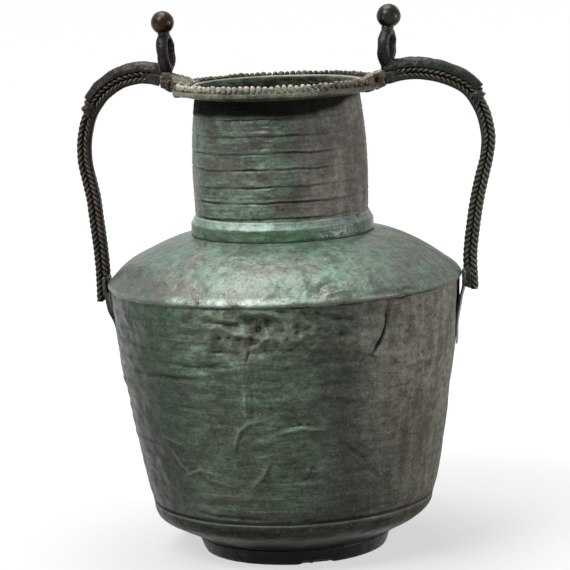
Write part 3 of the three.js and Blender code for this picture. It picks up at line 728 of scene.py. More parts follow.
# The neck: a slightly barrelled tube of sheet with ribs rolled into it, dark under the rim with a
# painted shadow. Its foot hangs inside the shoulder and its lip is turned out over the rim.
neck_outline = [(69.6, 256), (70.3, 268), (70.5, 279), (71.1, 296), (71.4, 312), (71.2, 328),
                (70.4, 344), (69.2, 357), (67.8, 369), (67, 374), (67, 382.2)]
neck_low, neck_high = 262, 374  # the collar covers it below, the rim above
neck_ribs = (282.2, 295.0, 307.7, 321.6, 334.2, 347.9, 361.4)
close_angles = [i * 0.9 for i in range(400)]


def neck_radius(height):
    """The radius of the neck's outer face."""
    for (r0, z0), (r1, z1) in zip(neck_outline, neck_outline[1:]):
        if height <= z1:
            return r0 + (r1 - r0) * (height - z0) / (z1 - z0)
    return neck_outline[-1][0]


def neck_press(angle, radius, height):
    # the inner face is painted darker: dirt in part, painted shade inside the mouth in part
    inside = 0.5 + 0.3 * lumps(angle, height, 26, 44) if radius < neck_radius(height) - 0.8 else 0
    if not neck_low <= height <= neck_high:
        return 0, inside if height < 382 else 0
    wander = 1.3 * lumps(angle, 300, 70, 31) + 0.7 * lumps(angle, height, 18, 36)
    shift = dark = 0
    for level in neck_ribs:
        gap = height + wander - level
        shift += 0.5 * math.exp(-(gap / 1.2) ** 2) - 0.75 * math.exp(-((gap + 2.0) / 0.9) ** 2)
        dark = max(dark, 0.7 * math.exp(-((gap + 2.0) / 0.65) ** 2))
    shift += 0.22 * math.sin((height + wander) * 1.75) * (0.6 + 0.6 * lumps(angle, height, 26, 33))
    shift += 0.6 * lumps(angle, height, 40, 37) + 0.3 * lumps(angle, height, 11, 39)
    shift += 0.12 * lumps(angle, height, 5, 38)
    strength = 0.9 + 0.5 * lumps(angle, height, 30, 34)
    strength *= 0.4 + 0.6 * clipped((68 - abs(turn_from(angle, 8) + 22)) / 26)
    hold = min(1, (height - neck_low) / 8) * min(1, (neck_high - height) / 5)
    # the painted shadow under the rim reaches less far down on the right
    shade = 357.5 + (0.25 * (angle - 30) if 30 <= angle <= 180 else 0)
    rim_shadow = clipped((height - shade - 2.2 * lumps(angle, 0, 30, 41)) / 6) * 0.9
    if inside:
        return shift * strength * hold, inside
    return shift * strength * hold, max(dark * strength, rim_shadow)


# its stops paint shade, darkest just right of the middle
neck_green = sheet_finish(
    "neck_green", tint(50, 54, 43), tint(84, 104, 86), tint(120, 150, 134), tint(88, 74, 56),
    19.0, 0.6, 0.6, 0.85, specular=0.4, haze=(0.03, 0.05, 0.03), rust=0.8, stops=(
        (-70, 0.85), (-30, 1.0), (5, 0.95), (25, 0.5), (45, 0.72), (70, 0.9)))
neck_tube = turned_piece(
    "neck_tube",
    [(r, z, 1, 0) for r, z in along(neck_outline, 0.7)]
    + [(67.3, 382.7, 0, 1), (68.3, 382.8, 0, 1), (68.6, 383.3, 0, 1), (68.0, 383.8, 0, 1),
       (66.2, 383.8, 0, 1), (65.5, 383.2, 0, 1)]
    + [(r - sheet_thickness, z, 1, 0) for r, z in along(list(reversed(neck_outline)), 5)],
    close_angles, neck_press)
settle(neck_tube, "green_bronze", neck_green, "neck")


# The collar: a heavy band round the neck's foot, standing on the shoulder, with a sloping upper face
# that catches the light. That face is painted a pale green as a highlight, brighter than the rest,
# and the upright face a darker green, in part as painted shade.
def collar_press(angle, radius, height):
    shift = 0.3 * lumps(angle, height, 30, 51) + 0.15 * lumps(angle, height, 9, 55)
    shift += hollow(angle, height, 74, 66, 275, 4, 4, -1.0)
    shift += hollow(angle, height, 74, -58, 266, 5, 5, -0.6)
    return shift, 0


# its stops paint shade, darker towards both sides and most on the right
collar_green = sheet_finish(
    "collar_green", tint(138, 160, 150), tint(172, 194, 186), tint(196, 214, 206),
    tint(146, 152, 142), 25.0, 0.6, 0.3, 0.5, specular=0.5,
    tone_by_facing_light=(tint(42, 64, 46), tint(70, 112, 80)), stops=(
        (-75, 0.7), (-40, 1.0), (10, 1.0), (40, 0.62), (75, 0.5)))
collar_outline = outward(
    along([(73.6, 262.1), (74.5, 262.6), (74.8, 264.4), (74.5, 267), (74.5, 270.6),
           (74.2, 272)], 0.8)
    + along([(73.4, 273.2), (72.2, 275.4), (71.2, 277.4), (70.6, 278.2)], 0.8)
    + [(70.3, 277.4), (70.2, 270), (70.0, 263), (71.2, 262.2)]
)
collar = turned_piece("collar", collar_outline, close_angles, collar_press)
settle(collar, "green_bronze", collar_green, "neck_collar")


# The rim: a heavy cast flange with a plain fillet below, which carries a row of beads on its
# edge. It is eaten into a pale crust on the left and browner on the right.
def crust_finish(name, shift, crumbs, ground, over):
    """Corroded cast bronze: pale buff and green crust over dark metal, gritty to the touch."""
    finish, tree, shader = new_finish(name, 0.08, 0.22)
    across = position(tree)[1]
    coarse = grain(tree, 80, 8, 0.7, shift=shift)
    grit = grain(tree, 560, 6, 0.75, shift=shift + 2)
    patches = grain(tree, 30, 6, 0.6, shift=shift + 5)
    leftward = arithmetic(tree, "MULTIPLY_ADD", across, -9.0, -0.15 + 0.55 * crumbs)
    pale = arithmetic(tree, "ADD", leftward, ramp(tree, patches, 0.42, 0.6))
    brown = coated(tree, tint(44, 35, 30), (tint(92, 76, 64), coarse, 0.42, 0.6, 1))
    colour = coated(
        tree, ground, (over, coarse, 0.4, 0.6, 1), (tint(138, 134, 116), pale, 0.3, 1.1, crumbs),
        (tint(118, 94, 76), coarse, 0.54, 0.66, 0.7),
        (tint(196, 188, 172), grit, 0.55, 0.66, crumbs),
        (tint(196, 192, 178), sharpness(tree), 0.53, 0.66, 0.5 * crumbs),
        (brown, across, 0.03, 0.07, 0.75), (tint(26, 27, 20), grit, 0.47, 0.36, 1))
    colour = dirt_and_shade_in_hollows(tree, shader, colour, 0.38, 0.49, tint(10, 10, 7))
    tree.links.new(colour, shader.inputs["Base Color"])
    uneven_gloss(tree, shader, grit, 0.25, 0.55)
    set_relief(tree, shader, [(grain(tree, 560, 3, 0.6, shift=shift), 0.0008),
                              (grain(tree, 160, 2, 0.5, shift=shift), 0.0014)])
    return finish


rim_crust = crust_finish("rim_crust", 31.0, 0.35, tint(40, 48, 38), tint(82, 94, 78))
beads_pale = crust_finish("beads_pale", 33.0, 1.0, tint(44, 46, 38), tint(104, 100, 86))
beads_brown = crust_finish("beads_brown", 35.0, 0.12, tint(30, 24, 21), tint(66, 54, 47))


def rim_press(angle, radius, height):
    rough = 0.22 * lumps(angle, height, 9, 61) + 0.3 * lumps(angle, height, 26, 64)
    return rough * (1 if radius > 74 else 0.2), 0


rim_outline = outward(
    along([(67.4, 374.1), (71.2, 374.3), (76, 375.7), (81.5, 376.9)], 1.4)
    + along([(83.8, 377.1), (84.7, 377.8), (84.8, 379.5), (84.4, 380.7)], 0.6)
    + along([(82.4, 381.3), (79.4, 381.5), (78.9, 382.1)], 0.9)
    + along([(77.6, 382.4), (72, 382.4), (67.5, 382.4)], 1.6)
    + [(67.35, 378.5)]
)
rim = turned_piece("rim", rim_outline, even_angles, rim_press)
settle(rim, "crusted_bronze", rim_crust, "rim_ring")


# The beading: a row of upright beads cast with the rim, from one handle's clasp round to
# the other's. Some are rubbed flat, and the left ones are eaten and swollen by the crust.
def full_turn(count):
    """The angles that divide a full turn evenly."""
    return [2 * math.pi * i / count for i in range(count)]


def round_lump(vertices, faces, centre, axes, rows, columns, swell=None):
    """Adds a closed knob; axes are its three half-sizes as vectors in millimetres."""
    base = len(vertices)
    for row in range(rows + 1):
        polar = math.pi * row / rows
        for turn in full_turn(columns):
            way = Vector((math.sin(polar) * math.cos(turn), math.sin(polar) * math.sin(turn),
                          math.cos(polar)))
            size = swell(way) if swell else 1
            reach = axes[0] * way.x + axes[1] * way.y + axes[2] * way.z
            vertices.append((centre + reach * size) / 1000)
    for row in range(rows):
        for column in range(columns):
            a = base + row * columns + column
            b = base + row * columns + (column + 1) % columns
            faces.append((a, a + columns, b + columns, b))


def bead_row(name, start, sweep, level):
    bead_pitch, ring_radius = 5.0, 81.7
    count = round(math.radians(sweep) * ring_radius / bead_pitch)
    vertices, faces = [], []
    for i in range(count):
        angle = start + sweep * (i + 0.5) / count
        turn = math.radians(angle)
        out = Vector((math.sin(turn), -math.cos(turn), 0))
        side = Vector((math.cos(turn), math.sin(turn), 0))
        eaten = clipped((-14 - angle) / 34) if angle < 90 else 0.5
        wobble = lumps(angle, i * 7.3, 3, 71)
        worn = lumps(angle, i * 3.1, 2.3, 77)
        wide = 2.45 + 0.35 * eaten + 0.5 * worn
        tall, deep = 2.8 + 0.9 * wobble - 0.2 * eaten, 2.7 - 0.5 * eaten + 0.6 * worn
        centre = out * (ring_radius + 0.3 * wobble) + Vector((0, 0, level - 0.4 * eaten))
        round_lump(
            vertices, faces, centre,
            (out * deep, side * wide, Vector((0, 0, tall)) - side * 0.5), 8, 12,
            lambda way: 1 + 0.05 * wobble - 0.12 * max(0, way.x) ** 4 + (0.1 + 0.3 * eaten)
            * noise.noise(Vector((way.x * 2 + i * 3, way.y * 2, way.z * 2))))
    return built(name, vertices, faces)


for name, node, start, level, skin in (
        ("beads_front", "rim_beading_front", -69.5, 384.3, beads_pale),
        ("beads_back", "rim_beading_back", 110.5, 383.5, beads_brown)):
    settle(bead_row(name, start, 139, level), "crusted_bronze", skin, node)


# The clasps: cast saddles that hug the rim where the handles meet it. The flank is smooth
# and brown, the top is a pale rough pad, and a groove marks where the handle begins.
def melt_together(piece, voxel, rounds):
    """Melts a piece made of overlapping closed shapes into one skin, as casting does. The
    voxel's size is in millimetres."""
    remesh = piece.modifiers.new("melt", "REMESH")
    remesh.mode = "VOXEL"
    remesh.voxel_size = voxel / 1000
    soften = piece.modifiers.new("soften", "SMOOTH")
    soften.iterations = rounds
    soften.factor = 0.5
    graph = bpy.context.evaluated_depsgraph_get()
    melted = bpy.data.meshes.new_from_object(piece.evaluated_get(graph))
    piece.modifiers.clear()
    old = piece.data
    piece.data = melted
    piece.data.name = old.name
    bpy.data.meshes.remove(old)
    piece.data.shade_smooth()


def merge_into(target, other):
    """Adds the mesh of one object to another and drops the emptied object."""
    points = [v.co.copy() for piece in (target, other) for v in piece.data.vertices]
    base = len(target.data.vertices)
    faces = [tuple(f.vertices) for f in target.data.polygons]
    faces += [tuple(base + v for v in f.vertices) for f in other.data.polygons]
    joined = bpy.data.meshes.new(target.data.name)
    joined.from_pydata(points, [], faces)
    joined.shade_smooth()
    target.data = joined
    bpy.data.objects.remove(other)


def roughen(piece, size, depth, seed):
    """Moves a cast skin in and out along its normals. The size of the lumps and the depth are
    in millimetres."""
    mesh = piece.data
    normals = [v.normal.copy() for v in mesh.vertices]
    for vertex, normal in zip(mesh.vertices, normals):
        spot = vertex.co * 1000 / size + Vector((seed, 0, seed))
        vertex.co += normal * (depth / 1000 * noise.noise(spot))


def clasp_finish(name, shift):
    """Brown metal on the flanks, a pale crust on what faces up, which is in part painted light from
    above.
    """
    finish, tree, shader = new_finish(name, 0.1, 0.25)
    coarse = grain(tree, 90, 7, 0.7, shift=shift)
    grit = grain(tree, 480, 6, 0.75, shift=shift + 3)
    # what faces up is paler: crust in part, painted light from above in part
    top = arithmetic(tree, "ADD", upward(tree), part_of(tree, coarse, 0.9))
    crust = coated(tree, tint(74, 72, 58), (tint(136, 130, 112), grit, 0.46, 0.62, 1))
    colour = coated(
        tree, tint(44, 37, 31), (tint(78, 68, 58), coarse, 0.38, 0.62, 1),
        (crust, top, 0.55, 1.0, 1), (tint(34, 34, 28), grit, 0.44, 0.3, 0.8))
    tree.links.new(colour, shader.inputs["Base Color"])
    uneven_gloss(tree, shader, coarse, 0.25, 0.5)
    set_relief(tree, shader, [(grain(tree, 480, 2, 0.5, shift=shift), 0.0006),
                              (grain(tree, 150, 2, 0.5, shift=shift), 0.0012)])
    return finish


def prism(name, outline, lower, upper):
    """A block over an outline of (x, y) points between two heights given at each x."""
    count = len(outline)
    vertices = [(x / 1000, y / 1000, lower(x) / 1000) for x, y in outline]
    vertices += [(x / 1000, y / 1000, upper(x) / 1000) for x, y in outline]
    faces = [tuple(range(count - 1, -1, -1)), tuple(range(count, 2 * count))]
    faces += [(i, (i + 1) % count, count + (i + 1) % count, count + i) for i in range(count)]
    return built(name, vertices, faces)


def settle_at(side, piece, slot, finish, node):
    """Settles a piece that was made for the right-hand handle, turned half round where it
    belongs to the left one."""
    if side == "left":
        piece.data.transform(Matrix.Rotation(math.pi, 4, "Z"))
    settle(piece, slot, finish, node + side)


sides = ("left", "right")
clasp_skin = clasp_finish("clasp_skin", 41.0)
bar_half = 6.15
# the line that the middle of each bar follows, as (distance from the axis, height)
bar_line = {
    "left": [(95.2, 389.0), (99, 390.2), (105.1, 391.2), (113.8, 391.4), (127.9, 388.2),
             (140.2, 380.8), (147, 374.4), (154.2, 364), (158.4, 353), (161.4, 337.5),
             (161.3, 322), (158.4, 306.3), (155.8, 291.6), (154.5, 276.5), (152.6, 256.4),
             (151.6, 241.3), (151.2, 226.4), (151.4, 206.5)],
    "right": [(89.6, 385.2), (99.9, 387.4), (108, 388.3), (116.9, 388.2), (128, 386.4),
              (138.3, 383.3), (149.2, 378.2), (156.9, 371.8), (163.6, 361.1), (168, 349.3),
              (170.2, 333.4), (168, 318.5), (165, 306.5), (161.4, 292.6), (158.4, 278.9),
              (156, 264.8), (153.8, 250.1), (152.4, 235.2), (152.8, 211)],
}


def clasp(side):
    """One clasp, from a saddle on the rim, a groove, a collar round the bar and a pad on top."""
    end, start = bar_line[side][0]
    end -= 0.2
    half = math.radians(20)
    inner_edge, outer_edge = 70.8, 84.2

    def arc(radius, first, last):
        return [(radius * math.cos(first + (last - first) * i / 8),
                 radius * math.sin(first + (last - first) * i / 8)) for i in range(9)]

    def under(x):
        at_rim = 374.8 + 0.1 * max(0, min(x, 84) - 72)
        return at_rim + (start - bar_half - at_rim) * max(0, x - 84) / (end - 84)

    def over(x):
        at_rim = 383.6 + 5.2 * clipped((x - 73) / 6)
        return at_rim + (start + bar_half - at_rim) * clipped((x - 79) / 9)

    groove = end - 9.4
    saddle = prism(
        "clasp_" + side,
        arc(inner_edge, half, -half) + arc(outer_edge, -half, -half * 0.62)
        + [(groove - 0.8, -6.9), (groove - 0.8, 6.9)] + arc(outer_edge, half * 0.62, half),
        under, over)
    waist = prism("waist", [(groove - 3, -6), (groove + 3, -6), (groove + 3, 6), (groove - 3, 6)],
                  lambda x: under(x) + 0.9, lambda x: over(x) - 0.8)
    collar_block = prism(
        "collar_block",
        [(groove + 0.9, -7.1), (end, -6.7), (end, 6.7), (groove + 0.9, 7.1)],
        lambda x: under(x) - 0.3, over)
    pad = prism("pad", [(74, -9), (end - 3, -5), (end - 3, 5), (74, 9)],
                lambda x: over(x) - 3, lambda x: over(x) + 0.6)
    for other in (waist, collar_block, pad):
        merge_into(saddle, other)
    melt_together(saddle, 0.6, 20)
    sign = -1 if side == "left" else 1
    roughen(saddle, 5.5, 1.2, 3 + sign)
    roughen(saddle, 2.2, 0.6, 9 + sign)
    settle_at(side, saddle, "crusted_bronze", clasp_skin, "rim_clasp_")


for side in sides:
    clasp(side)


# The handle bars: each cast in one piece as four cords in a square, neighbours twisted
# opposite ways so that they read as a plait. The bar leaves the clasp plain, arches over
# and comes down on the shoulder, where the inner cords are cut short.
def bar_frames(side, step):
    """Places along a bar: (distance, middle, outward, across), all in millimetres."""
    line = [Vector((x, 0, z)) for x, z in along(bar_line[side], 0.5)]
    lengths = [0.0]
    for a, b in zip(line, line[1:]):
        lengths.append(lengths[-1] + (b - a).length)
    count = round(lengths[-1] / step)
    frames, i = [], 0
    for k in range(count + 1):
        want = min(lengths[-1] * k / count, lengths[-1] - 1e-6)
        while lengths[i + 1] < want:
            i += 1
        share = (want - lengths[i]) / (lengths[i + 1] - lengths[i])
        middle = line[i].lerp(line[i + 1], share)
        ahead = (line[min(i + 6, len(line) - 1)] - line[max(i - 5, 0)]).normalized()
        frames.append((want, middle, Vector((-ahead.z, 0, ahead.x)), Vector((0, 1, 0))))
    return frames


def tube(rings, vertices, faces):
    """Joins rings of points into a tube with closed ends, onto lists of points and faces."""
    base, size = len(vertices), len(rings[0])
    for ring in rings:
        vertices.extend(point / 1000 for point in ring)
    for i in range(len(rings) - 1):
        for j in range(size):
            k = (j + 1) % size
            a, b = base + i * size, base + (i + 1) * size
            faces.append((a + j, b + j, b + k, a + k))
    faces.append(tuple(base + j for j in range(size)))
    faces.append(tuple(base + (len(rings) - 1) * size + j for j in reversed(range(size))))


def section_ring(middle, out, side, points):
    return [middle + out * o + side * s for o, s in points]


plain_root = {"left": 8.5, "right": 9.0}  # length of bar that is plain, next to the clasp
ridge_spacing, strands = 4.5, 3  # of each twisted cord
strip_foot = 227.6  # where the inner cords are cut off, on top of the boss
descent = 100  # a distance along the bar that is past its arch
cord_apart, cord_half = 2.9, 3.1  # of each cord, across the bar


def cord_rows(side, distance, height):
    """Places across the bar: outer cords' middle and half-thickness, the same of the inner
    cords, and how far the smooth strip under them reaches. The plait opens out on the way."""
    past_arch = soft_step(distance, 58, 84)
    arch = (2.35, 2.3, -2.15, 1.9, -6.1)
    below = (3.1, 2.5, -1.95, 2.35, -5.9)
    rows = [a + (b - a) * past_arch for a, b in zip(arch, below)]
    turned_flat = soft_step(-height, -338, -300) if distance > 90 else 0
    flat = (2.95, 2.9, -2.6, 2.8, -5.4 if side == "left" else -4.2)
    return [a + (b - a) * turned_flat for a, b in zip(rows, flat)]


def handle(side):
    """One bar: four carved cords, the metal between them, the plain root and the strip."""
    frames = bar_frames(side, 0.75)
    vertices, faces, soot_and_shade = [], [], []
    lead = ridge_spacing * strands
    root_end = plain_root[side]
    for out_side, across_side in ((1, -1), (-1, -1), (-1, 1), (1, 1)):
        # neighbours twist opposite ways, so that two of them read as a plait
        twist_way = -out_side * across_side
        rings = []
        for distance, middle, out, across in frames:
            if distance < root_end - 4:
                continue
            if out_side < 0 and middle.z < strip_foot and distance > descent:
                break
            outer, outer_half, inner, inner_half, _ = cord_rows(side, distance, middle.z)
            place, half = (outer, outer_half) if out_side > 0 else (inner, inner_half)
            carved = soft_step(distance, root_end - 2, root_end + 5)
            swell = 1 + 0.05 * noise.noise(Vector((distance / 6, out_side * 3, across_side * 5)))
            swell *= 0.8 + 0.2 * carved
            turn = 2 * math.pi * distance / lead
            centre = middle + out * place + across * (cord_apart * across_side)
            ring = []
            for a in full_turn(26):
                crest = abs(math.cos(0.5 * strands * (a - twist_way * turn))) ** 0.7
                depth = 1.06 - 0.4 * carved * (1 - crest)
                ring.append(centre + out * (half * swell * depth * math.cos(a))
                            + across * (cord_half * swell * depth * math.sin(a)))
                # the grooves between the ridges are darkened: dirt in part, painted shade in part
                soot_and_shade.append(carved * clipped(1.4 - 2.3 * crest))
            rings.append(ring)
        tube(rings, vertices, faces)
    # the metal between the cords
    core = []
    for distance, middle, out, across in frames[::4]:
        if distance > descent and middle.z < strip_foot:
            break
        outer, _, inner, _, _ = cord_rows(side, distance, middle.z)
        core.append(section_ring(middle, out, across, [
            (outer, 4.4), (inner, 4.4), (inner, -4.4), (outer, -4.4)]))
    # the plain root, which runs out under the plait
    root = []
    for distance, middle, out, across in frames:
        if distance > root_end + 7:
            break
        half = 6.1 - 1.3 * soft_step(distance, root_end - 5, root_end + 6)
        root.append(section_ring(middle, out, across, [
            (half * math.cos(a) * (1 + 0.14 * abs(math.sin(2 * a))),
             half * math.sin(a) * (1 + 0.14 * abs(math.sin(2 * a)))) for a in full_turn(24)]))
    # the smooth strip that closes the bar's inner side
    strip = []
    for distance, middle, out, across in frames[::2]:
        if distance > descent and middle.z < strip_foot:
            break
        _, _, inner, inner_half, reach = cord_rows(side, distance, middle.z)
        edge = inner - 0.5 * inner_half
        strip.append(section_ring(middle, out, across, [
            (inner, 4.9), (edge, 5.1), (reach + 1.0, 4.4), (reach + 0.2, 2.9), (reach, 0),
            (reach + 0.2, -2.9), (reach + 1.0, -4.4), (edge, -5.1), (inner, -4.9)]))
    # the core between the cords near-black and the strip darker: dirt in part, painted shade in part
    for rings, dirt_and_shade in ((core, 0.95), (root, 0), (strip, 0.55)):
        tube(rings, vertices, faces)
        soot_and_shade += [dirt_and_shade] * (len(vertices) - len(soot_and_shade))
    piece = built("handle_" + side, vertices, faces, soot_and_shade)
    settle_at(side, piece, "dark_bronze", bar_skins[side], "handle_bar_")


bar_skins = {
    "left": dark_cast_finish("bar_brown", tint(22, 19, 17), tint(42, 35, 31),
                             tint(122, 113, 104), 47.0, 0.8),
    "right": dark_cast_finish("bar_grey_green", tint(23, 23, 20), tint(42, 40, 35),
                              tint(120, 118, 106), 53.0, 0.8),
}
for side in sides:
    handle(side)


# The ring brackets: a rounded tongue lies along the outer side of each arch, and at its
# inner end a heavy upright ring stands over the rim's edge. Tongue and ring are one casting.
bracket_skins = {
    "left": dark_cast_finish("bracket_brown", tint(20, 17, 15), tint(36, 29, 25),
                             tint(84, 75, 67), 59.0, 0.4),
    "right": dark_cast_finish("bracket_grey_green", tint(20, 23, 20), tint(35, 39, 34),
                              tint(80, 86, 78), 61.0, 0.4),
}
tongue_end = {"left": 63.5, "right": 74.5}
ring_twist = {"left": 8, "right": -14}
ring_place = {"left": (88.7, 393.2), "right": (89.6, 391.9)}  # foot of the ring, at its middle
ring_half_height = 16.8
ring_oval = (9.2, 13.2)  # half-width and half-height of the oval that its metal follows


def tube_piece(name, rings):
    """A piece of its own from rings of points."""
    vertices, faces = [], []
    tube(rings, vertices, faces)
    return built(name, vertices, faces)


def bracket(side):
    """One tongue with its ring, the thicker metal under the ring and the ball's flat seat."""
    rings = []
    end = tongue_end[side]
    for distance, middle, out, across in bar_frames(side, 1.0):
        if distance > end:
            break
        taper = 1 - 0.17 * (distance / end) ** 2
        low, high = 4.2, 7.8 * taper
        points = []
        for j in range(17):
            a = math.pi * j / 16
            crest = 1 + 0.05 * math.exp(-((a - math.pi / 2) / 0.35) ** 2)
            points.append((low + high * math.sin(a) ** 0.85 * crest, 6.9 * math.cos(a)))
        points += [(low + 0.3, -4), (low + 0.3, 4)]
        rings.append(section_ring(middle, out, across, points))
    tongue = tube_piece("bracket_" + side, rings)
    # the ring, thickest in front and behind
    around, round_it = 56, 18
    vertices, faces = [], []
    for turn in full_turn(around):
        a = turn - math.pi / 2
        centre = Vector((0, ring_oval[0] * math.cos(a), ring_oval[1] * math.sin(a)))
        out = Vector((0, math.cos(a), math.sin(a)))
        thick = 3.5 + 0.3 * abs(math.cos(a))
        deep = 4.9 - 0.6 * max(0, -math.sin(a)) ** 2
        for b in full_turn(round_it):
            point = centre + out * (thick * math.cos(b)) + Vector((deep * math.sin(b), 0, 0))
            vertices.append(point / 1000)
    for i in range(around):
        for j in range(round_it):
            k = (j + 1) % round_it
            a, b = i * round_it, (i + 1) % around * round_it
            faces.append((a + j, a + k, b + k, b + j))
    ring_piece = built("ring_" + side, vertices, faces)
    ring_piece.data.transform(ring_matrix(side) @ Matrix.Translation(
        Vector((0, 0, ring_half_height)) / 1000))
    start = bar_line[side][0][1]
    saddle = prism("saddle_" + side, [(85.8, -4.2), (102, -5.8), (102, 5.8), (85.8, 4.2)],
                   lambda x: start + 3.5, lambda x: start + 8.6 + (x - 85.8) * 0.17)
    vertices, faces = [], []
    round_lump(vertices, faces, Vector((0, 0, 2 * ring_half_height - 0.6)),
               (Vector((5.0, 0, 0)), Vector((0, 6.2, 0)), Vector((0, 0, 3.6))), 10, 16)
    seat = built("seat_" + side, vertices, faces)
    seat.data.transform(ring_matrix(side))
    for other in (ring_piece, saddle, seat):
        merge_into(tongue, other)
    melt_together(tongue, 0.62, 4)
    roughen(tongue, 7, 0.5, 17)
    roughen(tongue, 2.5, 0.18, 19)
    settle_at(side, tongue, "dark_bronze", bracket_skins[side], "ring_bracket_")


def ring_matrix(side):
    """Stands a ring on its foot: turned a little, and leaning outwards."""
    x, z = ring_place[side]
    way = -1 if side == "left" else 1
    return (Matrix.Translation(Vector((x, 0, z)) / 1000)
            @ Matrix.Rotation(math.radians(4), 4, "Y")
            @ Matrix.Rotation(math.radians(ring_twist[side] * way), 4, "Z"))


for side in sides:
    bracket(side)


# The balls: solid cast knobs of smooth brown bronze, a little out of round. Each is pinned
# on the crown of its ring, and the right one is greener.
ball_place = {"left": (0, 41.5), "right": (0.6, 42.2)}  # out and up from the ring's foot
ball_radius = {"left": 9.5, "right": 9.7}
ball_skins = {
    "left": dark_cast_finish("ball_brown", tint(38, 29, 22), tint(66, 51, 39),
                             tint(92, 76, 60), 67.0, 0.3, (0.24, 0.36), 0.7, 0.3),
    "right": dark_cast_finish("ball_green", tint(26, 29, 25), tint(40, 43, 37),
                              tint(66, 68, 60), 71.0, 0.3, (0.24, 0.36), 0.7, 0.3),
}


def ball(side):
    out, up = ball_place[side]
    radius = ball_radius[side]
    vertices, faces = [], []
    round_lump(
        vertices, faces, Vector((out, 0, up)),
        (Vector((radius, 0, 0)), Vector((0, radius, 0)), Vector((0, 0, radius))), 28, 40,
        lambda way: 1 + 0.022 * noise.noise(way * 1.6 + Vector((out * 9, 0, 0))))
    piece = built("ball_" + side, vertices, faces)
    piece.data.transform(ring_matrix(side))
    settle_at(side, piece, "brown_bronze", ball_skins[side], "ball_finial_")


for side in sides:
    ball(side)


# The bindings: a small two-ridged band of dark bronze where each tongue ends, wrapped over the
# outer side of the bar. A little curled leaf hangs from it in front and behind.
binding_width = {"left": 9.5, "right": 7.5}


def binding(side):
    vertices, faces = [], []
    rings = []
    first, width = tongue_end[side] - 0.6, binding_width[side]
    for distance, middle, out, across in bar_frames(side, 0.5):
        if not first <= distance <= first + width:
            continue
        t = (distance - first) / width
        swell = 0.4 + 0.6 * max(math.exp(-((t - 0.24) / 0.16) ** 2),
                                0.8 * math.exp(-((t - 0.76) / 0.15) ** 2))
        points = []
        for a in full_turn(24):
            reach = (5.9 + 3.4 * swell) * math.cos(a) if math.cos(a) > -0.05 else -1.6
            points.append((reach, (6.6 + 1.2 * swell) * max(-1, min(1, 1.2 * math.sin(a)))))
        rings.append(section_ring(middle, out, across, points))
        if t < 0.5:
            leaf_place = (middle, out, out.cross(across))
    tube(rings, vertices, faces)
    # the leaf, curled under at its tip
    middle, out, along_bar = leaf_place
    for drop, reach, size in ((0.6, 2.6, 2.6), (3.4, 0.8, 2.3), (5.4, -0.6, 1.7)):
        for face in (-1, 1):
            round_lump(vertices, faces, middle + out * reach - along_bar * drop
                       + Vector((0, 7.0 * face, 0)),
                       (out * size, along_bar * size, Vector((0, 1.5, 0))), 8, 14)
    piece = built("binding_" + side, vertices, faces)
    melt_together(piece, 0.5, 2)
    roughen(piece, 3, 0.3, 23)
    settle_at(side, piece, "dark_bronze", bracket_skins[side], "handle_binding_")


for side in sides:
    binding(side)


# The escutcheons: thin leaf-shaped plates, soldered to the ridge and at their tips, sprung
# off the wall between. A short boss on each carries the bar's cut end.
plate_face = {
    "left": [(140.2, 165), (140.6, 171), (141.1, 178), (141.7, 185), (143.1, 190.6),
             (145.7, 197), (147.9, 204), (149.1, 213), (150.3, 227.5)],
    "right": [(140.2, 166), (140.6, 172), (141.4, 182), (142.7, 190), (144.5, 198),
              (146.2, 206), (147.9, 212), (149.6, 220), (150.3, 227.5)],
}
plate_half = 15
plate_skin = dark_cast_finish("plate_dark", tint(32, 32, 28), tint(62, 62, 55),
                              tint(128, 128, 116), 79.0, 0.8)


def escutcheon(side):
    """One plate, bowed off the wall, with the boss that carries the bar's end."""
    face = along(plate_face[side], 2.0)
    lowest, top = face[0][1], face[-1][1]
    rings = []
    for x, z in face:
        t = (z - lowest) / (top - lowest)
        wall_face = 141.9 + (z - 210) * (0.066 if z < 210 else 0.2)
        thick = max(0.5, min(2.0, x - wall_face - 0.25))
        width = max(2.0, plate_half * math.sin(math.pi * min(1, 0.06 + 0.64 * t)) ** 0.8)
        rings.append([
            Vector((x - back - 0.8 * (s / plate_half) ** 2, s, z))
            for back, s in ([(thick, width * k / 4) for k in range(-4, 5)]
                            + [(0, width * k / 4) for k in range(4, -5, -1)])])
    piece = tube_piece("escutcheon_plate_" + side, rings)
    end = bar_line[side][-1][0] + 0.2
    boss = prism("boss", [(145.6, -6), (end, -5.4), (end, 5.4), (145.6, 6)],
                 lambda x: 212 + (152 - x) * 0.4, lambda x: 227.2)
    merge_into(piece, boss)
    melt_together(piece, 0.45, 2)
    roughen(piece, 9, 0.4, 27)
    roughen(piece, 2.5, 0.15, 29)
    settle_at(side, piece, "dark_bronze", plate_skin, "escutcheon_")


for side in sides:
    escutcheon(side)


# The floor and the light: a pale floor that runs into a white background. A soft lamp stands
# high on the left, a second low on the right, a wide one overhead and a faint one low on the
# left, in front.
floor_mesh = bpy.data.meshes.new("floor")
floor_half = 20  # metres
floor_corners = [(x * floor_half, y * floor_half, 0) for x, y in ((-1, -1), (1, -1), (1, 1), (-1, 1))]
floor_mesh.from_pydata(floor_corners, [], [(0, 1, 2, 3)])
floor = bpy.data.objects.new("floor", floor_mesh)
bpy.context.collection.objects.link(floor)
floor_pale, tree, shader = new_finish("floor_pale", 0.0, 0.0)
shader.inputs["Base Color"].default_value = (0.2, 0.2, 0.195, 1)
shader.inputs["Roughness"].default_value = 0.9


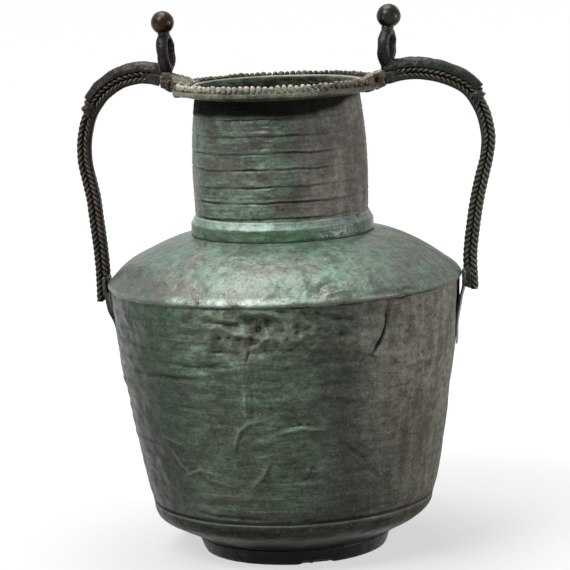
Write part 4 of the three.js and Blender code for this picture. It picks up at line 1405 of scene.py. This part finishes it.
def backdrop_rays(tree):
    """The rays that see the background: straight from the camera, or mirrored in metal."""
    ray = add_node(tree, "ShaderNodeLightPath").outputs
    mirrored = arithmetic(tree, "MAXIMUM", ray["Is Glossy Ray"], ray["Is Transmission Ray"])
    return arithmetic(tree, "MAXIMUM", ray["Is Camera Ray"], mirrored)


# the floor glows a little less near the foot, where the shadow falls
place = add_node(tree, "ShaderNodeTexCoord").outputs["Object"]
distance = add_node(tree, "ShaderNodeVectorMath", {"operation": "LENGTH"}, Vector=place)
glow_level = add_node(tree, "ShaderNodeMapRange", Value=distance.outputs["Value"],
                      From_Min=0.15, From_Max=0.7, To_Min=0.62, To_Max=0.97).outputs["Result"]
glow = add_node(tree, "ShaderNodeEmission",
                Strength=arithmetic(tree, "MULTIPLY", backdrop_rays(tree), glow_level))
both = add_node(tree, "ShaderNodeAddShader")
tree.links.new(shader.outputs[0], both.inputs[0])
tree.links.new(glow.outputs[0], both.inputs[1])
tree.links.new(both.outputs[0], tree.nodes["Material Output"].inputs["Surface"])
floor_mesh.materials.append(floor_pale)

world = bpy.data.worlds.new("sky")
bpy.context.scene.world = world
world.use_nodes = True
tree = world.node_tree
tree.nodes["Background"].inputs["Color"].default_value = (1, 1, 1, 1)
sky_level = add_node(tree, "ShaderNodeMapRange", Value=backdrop_rays(tree), To_Min=0.1, To_Max=1.0)
tree.links.new(sky_level.outputs["Result"], tree.nodes["Background"].inputs["Strength"])


def lamp(name, place, aim, size, power):
    """A round lamp that looks at a point; places and its size are in metres."""
    light = bpy.data.lights.new(name, "AREA")
    light.shape = "DISK"
    light.size = size
    light.energy = power
    holder = bpy.data.objects.new(name, light)
    bpy.context.collection.objects.link(holder)
    way = Vector(aim) - Vector(place)
    holder.matrix_world = (Matrix.Translation(Vector(place))
                           @ way.to_track_quat("-Z", "Y").to_matrix().to_4x4())


lamp("key_lamp", (-0.9, -1.25, 1.95), (0, 0, 0.25), 1.2, 52)
lamp("side_lamp", (1.9, -0.3, 0.4), (0, 0, 0.25), 0.7, 20)
lamp("top_lamp", (-0.25, 0.25, 2.05), (0, 0, 0.2), 1.3, 40)
lamp("low_lamp", (-1.6, -1.3, 0.12), (0, 0, 0.2), 0.5, 6)

bpy.context.scene.view_settings.view_transform = "Standard"
